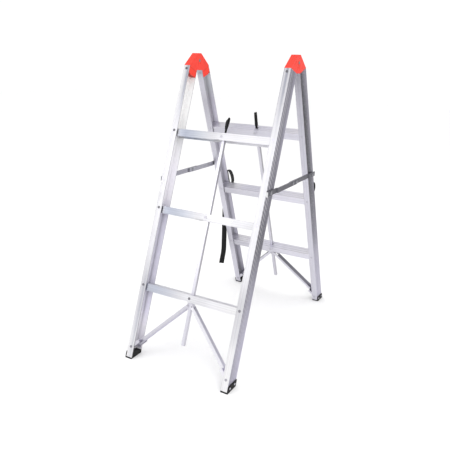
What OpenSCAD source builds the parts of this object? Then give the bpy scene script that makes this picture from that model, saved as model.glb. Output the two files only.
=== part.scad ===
// Folding trestle ladder: two rung frames hinged at the top.
// The rungs break upward at their middles, so each frame also closes sideways into a stick.
// The X axis runs along the rungs, Y from the front frame to the rear one and Z up from the floor.

/* [Overall] */
// Width over the outer faces of the stiles
ladder_w = 450; // [380:1:560]
// Lean of each leg from upright, in degrees
lean = 20.3; // [16:0.1:24]
// Gap between the two frames when they are shut together
leg_gap = 6; // [4:0.5:12]

/* [Stiles] */
// Depth of the stile channel, front to back
stile_d = 56; // [52:1:64]
// Width of the stile flanges
stile_flange = 26.5; // [25:0.5:32]
// Wall of the stile channel
stile_wall = 2; // [1.6:0.1:2.6]
// Distance from the hinge pin down to the sawn top of the stile
stile_top = 41; // [40:0.5:44]
// Bevel along the corners of the stile
stile_bevel = 0.8; // [0.4:0.1:1.2]
// Depth of the drawn grooves in the stile
stile_groove = 0.45; // [0.2:0.05:0.7]
// Width of each drawn groove
stile_groove_w = 1.6; // [1:0.1:2]

/* [Rungs] */
// Distance along the stile between rungs
rung_pitch = 305; // [290:1:315]
// Distance from the hinge pin down to the top rung
first_rung = 298; // [294:1:310]
// Distance from the floor up the stile to the bottom rung
rung_foot = 279.5; // [270:0.5:290]
// Height of the rung channel
rung_h = 28; // [26:0.5:32]
// Height of the tread above the rung's end pivots
tread_rise = 8; // [7:0.25:9]
// Wall of the rung channel
rung_wall = 2; // [1.5:0.1:2.4]
// Drop of the middle pivot below the end pivots
middle_drop = 5.75; // [4:0.25:7]
// Number of grooves along each tread
tread_grooves = 8; // [4:1:10]
// Width of a tread groove
tread_groove_w = 2.2; // [1:0.1:3]
// Depth of a tread groove
tread_groove_h = 0.8; // [0.3:0.1:1.1]

/* [Middle rod] */
// Width of the square rod that joins the rung middles
rod_w = 13; // [11:0.5:14]
// Depth of the rod, front to back
rod_d = 12; // [10:0.5:14]
// Wall of the rod
rod_wall = 1.6; // [1.2:0.1:2]
// Length of the rod below the bottom rung's middle pivot
rod_tail = 178; // [176:1:190]

/* [Braces] */
// Distance from the bottom rung down to the slider's pivots
slider_drop = 35; // [32:0.5:38]
// Width of the slider
slider_w = 26; // [24:0.5:27]
// Height of the slider
slider_h = 22; // [18:0.5:24]
// Wall of the slider in front of and behind the rod
slider_wall = 2; // [1.5:0.1:2.5]
// Height of the brace channel
brace_h = 12; // [10:0.5:13]
// Wall of the brace channel
brace_wall = 1.5; // [1.2:0.1:2]

/* [Hinges] */
// Height of the hinge cap above its pin
cap_rise = 27.5; // [24:0.5:32]
// Half length of the flat on top of the hinge cap
cap_flat = 12; // [8:0.5:16]
// Radius of the round knuckle inside the cap
knuckle_r = 37; // [34:0.5:38]
// Length of the plug inside the stile
plug_len = 31; // [24:0.5:32]
// Diameter of the hinge pin
hinge_pin_d = 8; // [6:0.5:10]
// Diameter of the hinge pin's heads
hinge_head_d = 11; // [10.5:0.5:14]

/* [Spreaders] */
// Distance from the top rung down the stile to the spreader pivots
spreader_drop = 182.6; // [165:0.1:200]
// Height of the spreader bars
spreader_h = 18; // [15:0.5:20]
// Thickness of the spreader bars
spreader_t = 4; // [3:0.1:4.5]
// Length of the bar past the front pivot
spreader_front_end = 34; // [26:1:40]
// Length of the bar past the rear pivot
spreader_rear_end = 24; // [20:1:30]
// Distance of the knee pivot in front of the ladder's middle
knee_forward = 7; // [0:0.5:9]
// Length of the front bar past the knee pivot
knee_front_lap = 40; // [34:1:48]
// Length of the rear bar past the knee pivot
knee_rear_lap = 23; // [18:1:30]
// Distance from the front pivot to the bend in the front bar
front_bend = 49; // [40:1:60]
// Distance from the rear pivot to the bend in the rear bar
rear_bend = 37; // [34:1:50]
// Reach of the tab at the front end of the bar
tab_reach = 7; // [6:0.5:10]

/* [Feet] */
// Thickness of the sole
sole_t = 5; // [4:0.5:8]
// Thickness of the foot's outer wall
foot_wall = 3; // [2:0.1:4]
// Height of the foot's outer wall
foot_h = 23; // [20:0.5:30]
// Height of the foot's inner wedge up the stile
wedge_h = 22; // [18:0.5:26]
// Distance from the brace pivot down to the top of the foot's inner wedge
wedge_drop = 14; // [12.5:0.5:16]

/* [Fasteners] */
// Diameter of the rivet shanks
rivet_d = 6; // [5:0.25:7]
// Diameter of the rivet heads
rivet_head_d = 10; // [8:0.5:11]
// Height of the rivet heads
rivet_head_h = 1.6; // [1:0.1:2]
// Diameter of the spreader pivots
spreader_pin_d = 8; // [6:0.5:9]
// Diameter of the spreader pivots' heads
spreader_head_d = 14; // [12:0.5:16]

/* [Straps] */
// Width of the bundle strap's webbing
strap_w = 24; // [20:1:26]
// Thickness of the webbing
strap_t = 2; // [1.5:0.1:3]
// Width of the pull loops' webbing
loop_w = 16; // [12:0.5:18]
// Height of the pull loops above the tread
loop_h = 62; // [50:1:70]
// Depth of a pull loop at its widest
loop_bow = 9; // [6:0.5:11]
// Length of the bundle strap's left loop along the stile
left_loop_len = 80; // [60:1:90]
// Width of the bundle strap's left loop, across the back of the stile
left_loop_bow = 28; // [24:1:34]
// Length of the bundle strap's right loop along the stile
right_loop_len = 44; // [36:1:60]
// Stand-off of the bundle strap's right loop behind the stile
right_loop_bow = 17; // [14:0.5:24]

/* [Hidden] */
$fn = 48;

// Colours
aluminium = [0.80, 0.80, 0.83];
grey_metal = [0.45, 0.45, 0.48];
cap_red = [0.93, 0.20, 0.15];
foot_black = [0.09, 0.09, 0.10];
strap_black = [0.06, 0.06, 0.07];

// Clearances
pin_fit = 0.05;
seat_gap = 0.15;
part_gap = 0.3;
nest_gap = 0.4;
rung_side_gap = 2;
yoke_side_gap = 0.5;
overrun = 10;

// Places across the frame
half_w = ladder_w / 2;
leg_in = leg_gap / 2;
leg_out = leg_in + stile_d;
leg_mid = leg_in + stile_d / 2;
pivot_x = half_w - stile_flange / 2;
web_in = half_w - stile_wall;
open_x = half_w - stile_flange;

// Places down the stile, measured from the hinge pin
rung_count = 3;
rung_s = [for (i = [0 : rung_count - 1]) first_rung + i * rung_pitch];
low_rung = rung_s[rung_count - 1];
floor_s = low_rung + rung_foot;
wedge_s = floor_s - wedge_h;
brace_s = wedge_s - wedge_drop;
spreader_s = first_rung + spreader_drop;
// Height of the hinge pins above the floor
pin_h = floor_s * cos(lean) - leg_mid * sin(lean);
slider_s = low_rung + slider_drop;
rod_end = low_rung + middle_drop + rod_tail;
fix_share = 0.4;
fix_s = stile_top + plug_len * fix_share;
leg_len = (pin_h + leg_out * sin(lean)) / cos(lean) + overrun;

// Groove places across the stile, as shares of its depth and of its flange
web_groove_shares = [0.1, 0.2, 0.3, 0.4, 0.5, 0.6, 0.82];
flange_groove_shares = [0.3, 0.72];

// Rung halves: seen from outside the ladder, the left half folds into the right one
rung_half_d = stile_d / 2 - stile_wall - rung_side_gap;
nested_half_d = rung_half_d - rung_wall - nest_gap;
tread_cut_back = 6.5;
wall_cut_back = 9.5;
tread_stop_gap = 0.1;
ear_r = 11;
ear_relief_len = 46;
ear_relief_h = 3.8;
heel_share = 0.4;
slot_end_gap = 1.2;
slot_len = rod_w / 2 + slot_end_gap;
slot_side_gap = 0.6;
seam_slant = 9;
rivet_flat_share = 0.55;

// Slider and braces
slider_half_d = rod_d / 2 + part_gap + slider_wall;
slider_pivot_x = 9;
slider_bevel = 1.5;
rod_bevel = 1;
brace_half_d = slider_half_d + part_gap + brace_wall;
brace_run = pivot_x - slider_pivot_x;
brace_rise = brace_s - slider_s;
brace_len = sqrt(brace_run * brace_run + brace_rise * brace_rise);
brace_angle = atan2(brace_rise, brace_run);
brace_offset = 0.5;
brace_back = brace_h / 2 - brace_offset;
brace_web_stop = 24;
brace_pin_d = 5;
brace_pin_head_d = 8;
yoke_half_d = stile_d / 2 - stile_wall - yoke_side_gap;
yoke_r = 9;
yoke_start = 14;
yoke_len = 42;

// Hinge cap
layer_x = half_w - stile_flange / 2;
outer_layer = [layer_x + part_gap / 2, half_w];
inner_layer = [open_x, layer_x - part_gap / 2];
hinge_head_out = 1.2;
hinge_head_in = 0.5;
plug_in = 0.6;

// Spreaders
spreader_y = spreader_s * sin(lean) + leg_mid * cos(lean);
spreader_z = pin_h - spreader_s * cos(lean) + leg_mid * sin(lean);
layer_gap = 0.2;
web_clear = 0.8;
tab_t = 2.5;
inner_bar_x = half_w + web_clear;
outer_bar_x = inner_bar_x + spreader_t + layer_gap;
bend_run = spreader_t;
stud_gap = 31;
knee_head_t = 0.5;
spreader_head_h = 2.2;
spreader_tail_h = 1.5;
spreader_tail_share = 0.8;

// Foot rivets
foot_rivet_shares = [0.22, 0.78];
foot_rivet_h = 13;
foot_rivet_d = 5;
foot_rivet_head_d = 8;

// Straps
loop_neck = 5;
loop_turn = 32;
loop_waist_share = 0.55;
loop_stem_w = 9;
strap_above_rung = 34;
strap_s = rung_s[1] - strap_above_rung;
strap_fix_inset = 25;
right_loop_rise = 8;
left_loop_drop = 8;
left_loop_inset = 14.5;
left_loop_turn = 88;
// Path of the left loop, as shares of its width and of half its length
left_loop_shape = [
    [0.14, -0.8], [0.16, -0.9], [0.29, -0.98], [0.48, -1], [0.69, -0.92], [0.86, -0.7], [0.965, -0.36],
    [1, 0], [0.95, 0.36], [0.79, 0.68], [0.55, 0.9], [0.31, 0.98], [0.14, 0.92], [0.05, 0.72],
    [0.04, 0.3], [0.04, -0.2], [0.04, -0.78]
];
strap_clear = 0.2;
strap_out = 2.4;
// Points of the hanging strap from where it leaves the stile, and its turn at each one in degrees
strap_y = strap_s * sin(lean) + leg_out * cos(lean);
strap_z = pin_h - strap_s * cos(lean) + leg_out * sin(lean);
tail_points = [
    [-3.5, 1.5, 10], [-3.6, 8, -14], [-5.5, 20, -40], [-8, 29, -75], [-10, 35, -115],
    [-10, 37.5, -160], [-10, 37.5, -210], [-10, 37.5, -250], [-9.9, 37.5, -290], [-10.1, 37.5, -335],
    [-10.3, 37.5, -362], [-10.6, 37.2, -374], [-12.5, 36.3, -398], [-16.5, 35.3, -424], [-20.5, 34.3, -452]
];
tail_turns = [90, 90, 80, 66, 58, 54, 51, 48, 45, 42, 40, 40, 40, 40, 40];

// Frames and sides: everything below is drawn for the right-hand rear leg,
// with Y outward from the hinge and Z up along the stile
module leg_tilt() {
    translate([0, 0, pin_h]) rotate([lean, 0, 0]) children();
}

module face(rear) {
    if (rear) children();
    else mirror([0, 1, 0]) children();
}

module side(left) {
    if (left) mirror([1, 0, 0]) children();
    else children();
}

module leg(rear, left) {
    face(rear) side(left) leg_tilt() children();
}

module frame(rear) {
    face(rear) leg_tilt() children();
}

// A rod or bore along Y, from y0 to y1
module along_y(x, y0, y1, z, d) {
    translate([x, y0, z]) rotate([-90, 0, 0]) cylinder(h = y1 - y0, d = d);
}

// A rod or bore along X, from x0 to x1
module along_x(x0, x1, y, z, d) {
    translate([x0, y, z]) rotate([0, 90, 0]) cylinder(h = x1 - x0, d = d);
}

// A low domed head that stands on the XY plane
module rivet_head(d, h) {
    cylinder(h = h / 2, d = d);
    translate([0, 0, h / 2]) cylinder(h = h / 2, d1 = d, d2 = d * rivet_flat_share);
}

module head_y(x, y, z, d, h, outward) {
    translate([x, y, z]) rotate([outward ? -90 : 90, 0, 0]) rivet_head(d, h);
}

module head_x(x, y, z, d, h, outward) {
    translate([x, y, z]) rotate([0, outward ? 90 : -90, 0]) rivet_head(d, h);
}

module bevelled_square(w, d, b) {
    polygon([
        [b, 0], [w - b, 0], [w, b], [w, d - b], [w - b, d], [b, d], [0, d - b], [0, b]
    ]);
}

// Everything from z0 to z1 above the floor
module floor_slab(z0, z1) {
    span = ladder_w + 2 * pin_h;
    translate([-span / 2, -span / 2, z0]) cube([span, span, z1 - z0]);
}

// Stiles
module stile_profile() {
    groove_x = stile_flange - stile_groove;
    difference() {
        bevelled_square(stile_flange, stile_d, stile_bevel);
        translate([-overrun, stile_wall])
            square([stile_flange - stile_wall + overrun, stile_d - 2 * stile_wall]);
        for (share = web_groove_shares)
            translate([groove_x, stile_d * share - stile_groove_w / 2])
                square([overrun, stile_groove_w]);
        for (share = flange_groove_shares) {
            translate([stile_flange * share - stile_groove_w / 2, -overrun])
                square([stile_groove_w, overrun + stile_groove]);
            translate([stile_flange * share - stile_groove_w / 2, stile_d - stile_groove])
                square([stile_groove_w, overrun + stile_groove]);
        }
    }
}

module stile_blank() {
    translate([open_x, leg_in, -leg_len])
        linear_extrude(height = leg_len - stile_top) stile_profile();
}

module flange_bores() {
    bore_d = rivet_d + 2 * pin_fit;
    for (s = concat([fix_s], rung_s, [brace_s]))
        along_y(pivot_x, leg_in - overrun, leg_out + overrun, -s, bore_d);
}

module stile(rear, left) {
    color(aluminium) difference() {
        intersection() {
            leg(rear, left) stile_blank();
            floor_slab(sole_t, pin_h + cap_rise);
        }
        leg(rear, left) flange_bores();
        if (!rear) face(rear) side(left)
            along_x(web_in - overrun, half_w + overrun, spreader_y, spreader_z,
                spreader_pin_d + 2 * pin_fit);
        face(rear) side(left) foot_rivet_bores();
    }
}

// Feet: a sole, a wall outside the web and a wedge inside the channel
function foot_y(share) = (pin_h - foot_rivet_h) * tan(lean) + (leg_in + stile_d * share) / cos(lean);

module foot_rivet_bores() {
    for (share = foot_rivet_shares)
        along_x(web_in - overrun, half_w + foot_wall + overrun, foot_y(share), foot_rivet_h,
            foot_rivet_d + 2 * pin_fit);
}

module leg_block(x0, x1, y0, y1, s0) {
    translate([x0, y0, -leg_len]) cube([x1 - x0, y1 - y0, leg_len - s0]);
}

module foot(rear, left) {
    color(foot_black) difference() {
        union() {
            intersection() {
                leg(rear, left) leg_block(open_x, half_w + foot_wall, leg_in, leg_out, low_rung);
                floor_slab(0, sole_t);
            }
            intersection() {
                leg(rear, left)
                    leg_block(half_w, half_w + foot_wall, leg_in, leg_out, low_rung);
                floor_slab(0, foot_h);
            }
            intersection() {
                leg(rear, left)
                    leg_block(open_x, web_in, leg_in + stile_wall, leg_out - stile_wall, wedge_s);
                floor_slab(0, pin_h);
            }
        }
        face(rear) side(left) foot_rivet_bores();
    }
}

// Hinges: the front half fills the outer layer round the pin and the rear half the inner layer
corner_out = [stile_top * sin(lean) + leg_out * cos(lean), -stile_top * cos(lean) + leg_out * sin(lean)];
corner_in = [stile_top * sin(lean) + leg_in * cos(lean), -stile_top * cos(lean) + leg_in * sin(lean)];

corner_mid = [leg_in * cos(lean), leg_in * sin(lean)];

module cap_wing() {
    polygon([[0, cap_rise], [cap_flat, cap_rise], corner_out, corner_in, corner_mid, [0, 0]]);
}

module cap_shield() {
    cap_wing();
    mirror([1, 0]) cap_wing();
}

module cap_slice(layer) {
    translate([layer[0], 0, pin_h]) rotate([90, 0, 90])
        linear_extrude(height = layer[1] - layer[0]) children();
}

module cap_chin() {
    polygon([[0, 0], corner_in, [-corner_in[0], corner_in[1]]]);
}

module cap_knuckle(layer) {
    cap_slice(layer) {
        cap_wing();
        intersection() {
            union() {
                cap_shield();
                cap_chin();
            }
            circle(r = knuckle_r);
        }
    }
}

module cap_shoulder(layer) {
    cap_slice(layer) difference() {
        cap_wing();
        circle(r = knuckle_r + part_gap);
    }
}

module cap_plug() {
    leg_tilt() difference() {
        translate([open_x + plug_in, leg_in + stile_wall + seat_gap, -stile_top - plug_len])
            cube([web_in - seat_gap - open_x - plug_in, stile_d - 2 * (stile_wall + seat_gap), plug_len]);
        along_y(pivot_x, leg_in, leg_out, -fix_s, rivet_d + 2 * pin_fit);
    }
}

module hinge_half(rear, left) {
    own_layer = rear ? inner_layer : outer_layer;
    color(cap_red) face(rear) side(left) difference() {
        union() {
            cap_knuckle(own_layer);
            cap_shoulder([open_x, half_w]);
            cap_plug();
        }
        along_x(open_x - overrun, half_w + overrun, 0, pin_h, hinge_pin_d + 2 * pin_fit);
    }
}

module hinge_pin(left) {
    color(grey_metal) side(left) {
        along_x(open_x - seat_gap, half_w + seat_gap, 0, pin_h, hinge_pin_d);
        head_x(half_w + seat_gap, 0, pin_h, hinge_head_d, hinge_head_out, true);
        head_x(open_x - seat_gap, 0, pin_h, hinge_head_d, hinge_head_in, false);
    }
}

function outer_half(rear, left) = left == rear;

// Rivets of one leg: short ones at the rung ends, a long one at the brace and two in the foot
module rung_end_rivets(wall_half_d) {
    wall_out = leg_mid + wall_half_d;
    tip = wall_out - rung_wall - seat_gap;
    collar_d = rivet_head_d;
    for (s = rung_s) {
        head_y(pivot_x, leg_out, -s, rivet_head_d, rivet_head_h, true);
        along_y(pivot_x, tip - rivet_head_h, leg_out, -s, rivet_d);
        along_y(pivot_x, wall_out + seat_gap, leg_out - stile_wall, -s, collar_d);
        head_y(pivot_x, tip, -s, rivet_head_d, rivet_head_h, false);
    }
}

module both_flanges() {
    children();
    translate([0, 2 * leg_mid, 0]) mirror([0, 1, 0]) children();
}

module leg_rivets(rear, left) {
    wall_half_d = outer_half(rear, left) ? rung_half_d : nested_half_d;
    plug_depth = stile_wall + rivet_d;
    color(grey_metal) {
        leg(rear, left) {
            both_flanges() {
                rung_end_rivets(wall_half_d);
                head_y(pivot_x, leg_out, -fix_s, rivet_head_d, rivet_head_h, true);
                along_y(pivot_x, leg_out - plug_depth, leg_out, -fix_s, rivet_d);
                head_y(pivot_x, leg_out, -brace_s, rivet_head_d, rivet_head_h, true);
            }
            along_y(pivot_x, leg_in, leg_out, -brace_s, rivet_d);
        }
        face(rear) side(left) for (share = foot_rivet_shares) {
            along_x(web_in - rivet_head_h, half_w + foot_wall, foot_y(share), foot_rivet_h, foot_rivet_d);
            head_x(half_w + foot_wall, foot_y(share), foot_rivet_h, foot_rivet_head_d, rivet_head_h, true);
        }
    }
}

// Rung halves, drawn from the end pivot at the origin to the middle pivot on +X
module rung_side(outer) {
    top = tread_rise;
    bottom = tread_rise - rung_h;
    relief = bottom + ear_relief_h;
    stop = pivot_x - tread_stop_gap;
    outer_end = [[stop, top - rung_wall], [pivot_x + seam_slant, bottom]];
    nested_end = [[stop, relief], [pivot_x - ear_relief_len, bottom]];
    difference() {
        union() {
            polygon(concat(
                [[-tread_cut_back, top], [stop, top]],
                outer ? outer_end : nested_end,
                [[-tread_cut_back, bottom], [-wall_cut_back, bottom + wall_cut_back * heel_share],
                    [-wall_cut_back, 0]]
            ));
            translate([pivot_x, -middle_drop]) circle(r = ear_r);
        }
        circle(d = rivet_d + 2 * pin_fit);
        translate([pivot_x, -middle_drop]) circle(d = rivet_d + 2 * pin_fit);
    }
}

module rung_half_blank(outer) {
    half_d = outer ? rung_half_d : nested_half_d;
    tread_len = pivot_x - tread_stop_gap + tread_cut_back;
    groove_pitch = 2 * half_d / tread_grooves;
    difference() {
        union() {
            translate([-tread_cut_back, -half_d, tread_rise - rung_wall])
                cube([tread_len, 2 * half_d, rung_wall]);
            for (y = [half_d, -half_d + rung_wall])
                translate([0, y, 0]) rotate([90, 0, 0])
                    linear_extrude(height = rung_wall) rung_side(outer);
        }
        for (i = [0 : tread_grooves - 1])
            translate([-overrun, (i + 0.5) * groove_pitch - half_d - tread_groove_w / 2,
                    tread_rise - tread_groove_h])
                cube([pivot_x + 2 * overrun, tread_groove_w, overrun]);
        translate([pivot_x - slot_len, -rod_d / 2 - slot_side_gap, 0])
            cube([slot_len + overrun, rod_d + 2 * slot_side_gap, tread_rise + overrun]);
    }
}

module rung_half(rear, left, row) {
    color(aluminium) frame(rear) translate([0, leg_mid, -rung_s[row]]) side(!left)
        translate([-pivot_x, 0, 0]) rung_half_blank(outer_half(rear, left));
}

// Middle rod and its pins
module rod(rear) {
    rod_top = first_rung + middle_drop - ear_r;
    color(aluminium) frame(rear) translate([0, leg_mid, 0]) difference() {
        translate([-rod_w / 2, -rod_d / 2, -rod_end]) linear_extrude(height = rod_end - rod_top)
            difference() {
                bevelled_square(rod_w, rod_d, rod_bevel);
                translate([rod_wall, rod_wall]) square([rod_w - 2 * rod_wall, rod_d - 2 * rod_wall]);
            }
        for (s = rung_s)
            along_y(0, -rod_d, rod_d, -s - middle_drop, rivet_d + 2 * pin_fit);
    }
}

module middle_pins(rear) {
    reach = rung_half_d + seat_gap;
    color(grey_metal) frame(rear) translate([0, leg_mid, 0]) for (s = rung_s) {
        along_y(0, -reach, reach, -s - middle_drop, rivet_d);
        head_y(0, reach, -s - middle_drop, rivet_head_d, rivet_head_h, true);
        head_y(0, -reach, -s - middle_drop, rivet_head_d, rivet_head_h, false);
    }
}

// Slider and braces
module slider(rear) {
    color(aluminium) frame(rear) translate([0, leg_mid, -slider_s - slider_h / 2])
        linear_extrude(height = slider_h) difference() {
            translate([-slider_w / 2, -slider_half_d])
                bevelled_square(slider_w, 2 * slider_half_d, slider_bevel);
            translate([-rod_w / 2 - part_gap, -rod_d / 2 - part_gap])
                square([rod_w + 2 * part_gap, rod_d + 2 * part_gap]);
        }
}

// One brace along +X, from its stile pivot at the origin
module brace_ear_outline() {
    difference() {
        union() {
            translate([yoke_start, brace_back - brace_h]) square([brace_len - yoke_start, brace_h]);
            translate([brace_len, brace_back - brace_h / 2]) circle(d = brace_h);
        }
        translate([brace_len, 0]) circle(d = brace_pin_d + 2 * pin_fit);
    }
}

module yoke_ear_outline() {
    difference() {
        union() {
            circle(r = yoke_r);
            translate([0, brace_back - brace_h]) square([yoke_len, brace_h]);
        }
        circle(d = rivet_d + 2 * pin_fit);
    }
}

module brace_blank() {
    web_z = brace_back - brace_wall;
    for (y = [brace_half_d, -brace_half_d + brace_wall])
        translate([0, y, 0]) rotate([90, 0, 0]) linear_extrude(height = brace_wall) brace_ear_outline();
    for (y = [yoke_half_d, -yoke_half_d + brace_wall])
        translate([0, y, 0]) rotate([90, 0, 0]) linear_extrude(height = brace_wall) yoke_ear_outline();
    translate([yoke_start, -brace_half_d, web_z])
        cube([brace_len - brace_web_stop - yoke_start, 2 * brace_half_d, brace_wall]);
    translate([yoke_start, -yoke_half_d, web_z])
        cube([yoke_len - yoke_start, 2 * yoke_half_d, brace_wall]);
}

module brace_place(rear, left) {
    frame(rear) translate([0, leg_mid, 0]) side(!left)
        translate([-pivot_x, 0, -brace_s]) rotate([0, -brace_angle, 0]) children();
}

module brace(rear, left) {
    color(aluminium) brace_place(rear, left) brace_blank();
}

module brace_rivets(rear, left) {
    color(grey_metal) brace_place(rear, left) for (back = [false, true]) face(!back) {
        along_y(brace_len, brace_half_d - brace_wall, brace_half_d, 0, brace_pin_d);
        head_y(brace_len, brace_half_d, 0, brace_pin_head_d, rivet_head_h, true);
    }
}

// Spreaders: two flat bars that meet at a knee, each with one sideways bend
module spreader_bar() {
    translate([0, 0, spreader_z - spreader_h / 2]) linear_extrude(height = spreader_h) children();
}

module spreader_bore(y, d) {
    along_x(half_w - overrun, half_w + 4 * overrun, y, spreader_z, d + 2 * pin_fit);
}

module spreader_front(left) {
    end = -spreader_y - spreader_front_end;
    bend = -spreader_y + front_bend;
    lap = -knee_forward + knee_front_lap;
    in_x = inner_bar_x;
    out_x = outer_bar_x;
    t = spreader_t;
    color(grey_metal) side(left) difference() {
        spreader_bar() polygon([
            [in_x, end], [in_x + tab_reach, end], [in_x + tab_reach, end + tab_t], [in_x + t, end + tab_t],
            [in_x + t, bend - bend_run / 2], [out_x + t, bend + bend_run / 2],
            [out_x + t, lap], [out_x, lap],
            [out_x, bend + bend_run], [in_x, bend]
        ]);
        spreader_bore(-spreader_y, spreader_pin_d);
        spreader_bore(-knee_forward, spreader_pin_d);
        spreader_bore(-knee_forward + stud_gap, spreader_pin_d);
    }
}

module spreader_rear(left) {
    end = spreader_y + spreader_rear_end;
    bend = spreader_y - rear_bend;
    lap = -knee_forward - knee_rear_lap;
    in_x = inner_bar_x;
    out_x = outer_bar_x;
    t = spreader_t;
    color(grey_metal) side(left) difference() {
        spreader_bar() polygon([
            [in_x, lap], [in_x + t, lap],
            [in_x + t, bend - bend_run / 2], [out_x + t, bend + bend_run / 2],
            [out_x + t, end], [out_x, end],
            [out_x, bend + bend_run], [in_x, bend]
        ]);
        spreader_bore(-knee_forward, spreader_pin_d);
        spreader_bore(spreader_y, spreader_pin_d);
    }
}

module knee_rivets(left) {
    face_x = outer_bar_x + spreader_t;
    knee_in = inner_bar_x - knee_head_t;
    stud_y = -knee_forward + stud_gap;
    color(grey_metal) side(left) {
        along_x(knee_in, face_x, -knee_forward, spreader_z, spreader_pin_d);
        head_x(face_x, -knee_forward, spreader_z, spreader_head_d, spreader_head_h, true);
        along_x(knee_in, inner_bar_x - seat_gap, -knee_forward, spreader_z, spreader_head_d);
        along_x(outer_bar_x, face_x, stud_y, spreader_z, spreader_pin_d);
        head_x(face_x, stud_y, spreader_z, spreader_head_d, spreader_head_h, true);
    }
}

module spreader_front_rivet(left) {
    face_x = inner_bar_x + spreader_t + seat_gap;
    color(grey_metal) side(left) {
        along_x(web_in, face_x, -spreader_y, spreader_z, spreader_pin_d);
        head_x(face_x, -spreader_y, spreader_z, spreader_head_d, spreader_head_h, true);
        head_x(web_in, -spreader_y, spreader_z, spreader_head_d * spreader_tail_share, spreader_tail_h, false);
        along_x(half_w, inner_bar_x - seat_gap, -spreader_y, spreader_z, spreader_head_d);
    }
}

// The rear pivot's spacer rides on the bar and runs close over the web
module spreader_rear_rivet(left) {
    face_x = outer_bar_x + spreader_t;
    color(grey_metal) side(left) {
        along_x(outer_bar_x, face_x, spreader_y, spreader_z, spreader_pin_d);
        head_x(face_x, spreader_y, spreader_z, spreader_head_d, spreader_head_h, true);
        along_x(half_w + part_gap, outer_bar_x, spreader_y, spreader_z, spreader_head_d);
    }
}

// Straps
module pull_loop_outline() {
    crown = loop_bow / 2;
    waist = loop_h * loop_waist_share;
    polygon([
        [-loop_neck / 2, 0], [loop_neck / 2, 0], [crown, waist], [crown, loop_h - crown],
        [-crown, loop_h - crown], [-crown, waist]
    ]);
    translate([0, loop_h - crown]) circle(r = crown);
}

module pull_loop(rear) {
    rod_top = first_rung + middle_drop - ear_r;
    loop_z = -first_rung + tread_rise + seat_gap;
    color(strap_black) frame(rear) translate([0, leg_mid, 0]) rotate([0, 0, loop_turn]) {
        translate([-loop_stem_w / 2, -loop_neck / 2, -rod_top])
            cube([loop_stem_w, loop_neck, loop_z + rod_top]);
        translate([-loop_w / 2, 0, loop_z]) rotate([90, 0, 90]) linear_extrude(height = loop_w)
            difference() {
                pull_loop_outline();
                translate([0, loop_h - loop_bow / 2]) circle(r = loop_bow / 2 - strap_t);
            }
    }
}

// A half-round strap loop on the XY plane, standing out along +Y from a flat of the given length
module strap_bow(length, bow) {
    difference() {
        scale([1, 2 * bow / length]) circle(d = length);
        scale([1, 2 * (bow - strap_t) / (length - 2 * strap_t)])
            circle(d = length - 2 * strap_t);
        translate([-length, -length]) square([2 * length, length]);
    }
    translate([-length / 2, 0]) square([length, strap_t]);
}

// A flat band along its points, each with a turn of its width in degrees and a direction through it
band_corners = [[1, 1], [-1, 1], [-1, -1], [1, -1]];

module strap_band(points, turns, through) {
    rings = len(points);
    sides = len(band_corners);
    corners = [for (i = [0 : rings - 1], c = band_corners)
        points[i] + c[0] * strap_w / 2 * [cos(turns[i]), sin(turns[i]), 0] + c[1] * strap_t / 2 * through[i]];
    walls = [for (i = [0 : rings - 2], j = [0 : sides - 1], k = [0, 1])
        let (a = i * sides + j, b = i * sides + (j + 1) % sides)
        k == 0 ? [a, b, b + sides] : [a, b + sides, a + sides]];
    ends = [
        [2, 1, 0], [3, 2, 0],
        [for (j = [0, 1, 2]) (rings - 1) * sides + j],
        [for (j = [0, 2, 3]) (rings - 1) * sides + j]
    ];
    polyhedron(corners, concat(walls, ends));
}

// A point of the left loop, just behind the stile and its rivets
function left_loop_point(share) =
    let (s = strap_s + left_loop_drop + share[1] * left_loop_len / 2)
    [
        share[0] * left_loop_bow - left_loop_inset - open_x,
        s * sin(lean) + leg_out * cos(lean) + strap_w / 2 + rivet_head_h + part_gap,
        pin_h - s * cos(lean) + leg_out * sin(lean)
    ];

// The direction through a band whose width runs front to back, from its run
function band_through(run) = [run[2], 0, -run[0]] / norm([run[0], 0, run[2]]);

module left_strap_loop() {
    points = [for (share = left_loop_shape) left_loop_point(share)];
    last = len(points) - 1;
    turns = [for (p = points) left_loop_turn];
    through = [for (i = [0 : last]) band_through(points[min(i + 1, last)] - points[max(i - 1, 0)])];
    color(strap_black) {
        strap_band(points, turns, through);
        leg(true, true) translate([open_x, leg_out + strap_clear, -strap_s - strap_w / 2])
            cube([stile_flange + strap_out, strap_t, strap_w]);
    }
}

module right_strap_loop() {
    color(strap_black) leg(true, false)
        translate([half_w - strap_fix_inset, leg_out + strap_clear, right_loop_rise - strap_s]) rotate([0, 90, 0])
            linear_extrude(height = strap_w) strap_bow(right_loop_len, right_loop_bow);
}

// The hanging tail
module left_strap_tail() {
    points = [for (p = tail_points) [-half_w, strap_y, strap_z] + p];
    through = [for (a = tail_turns) [-sin(a), cos(a), 0]];
    color(strap_black) strap_band(points, tail_turns, through);
}

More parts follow.
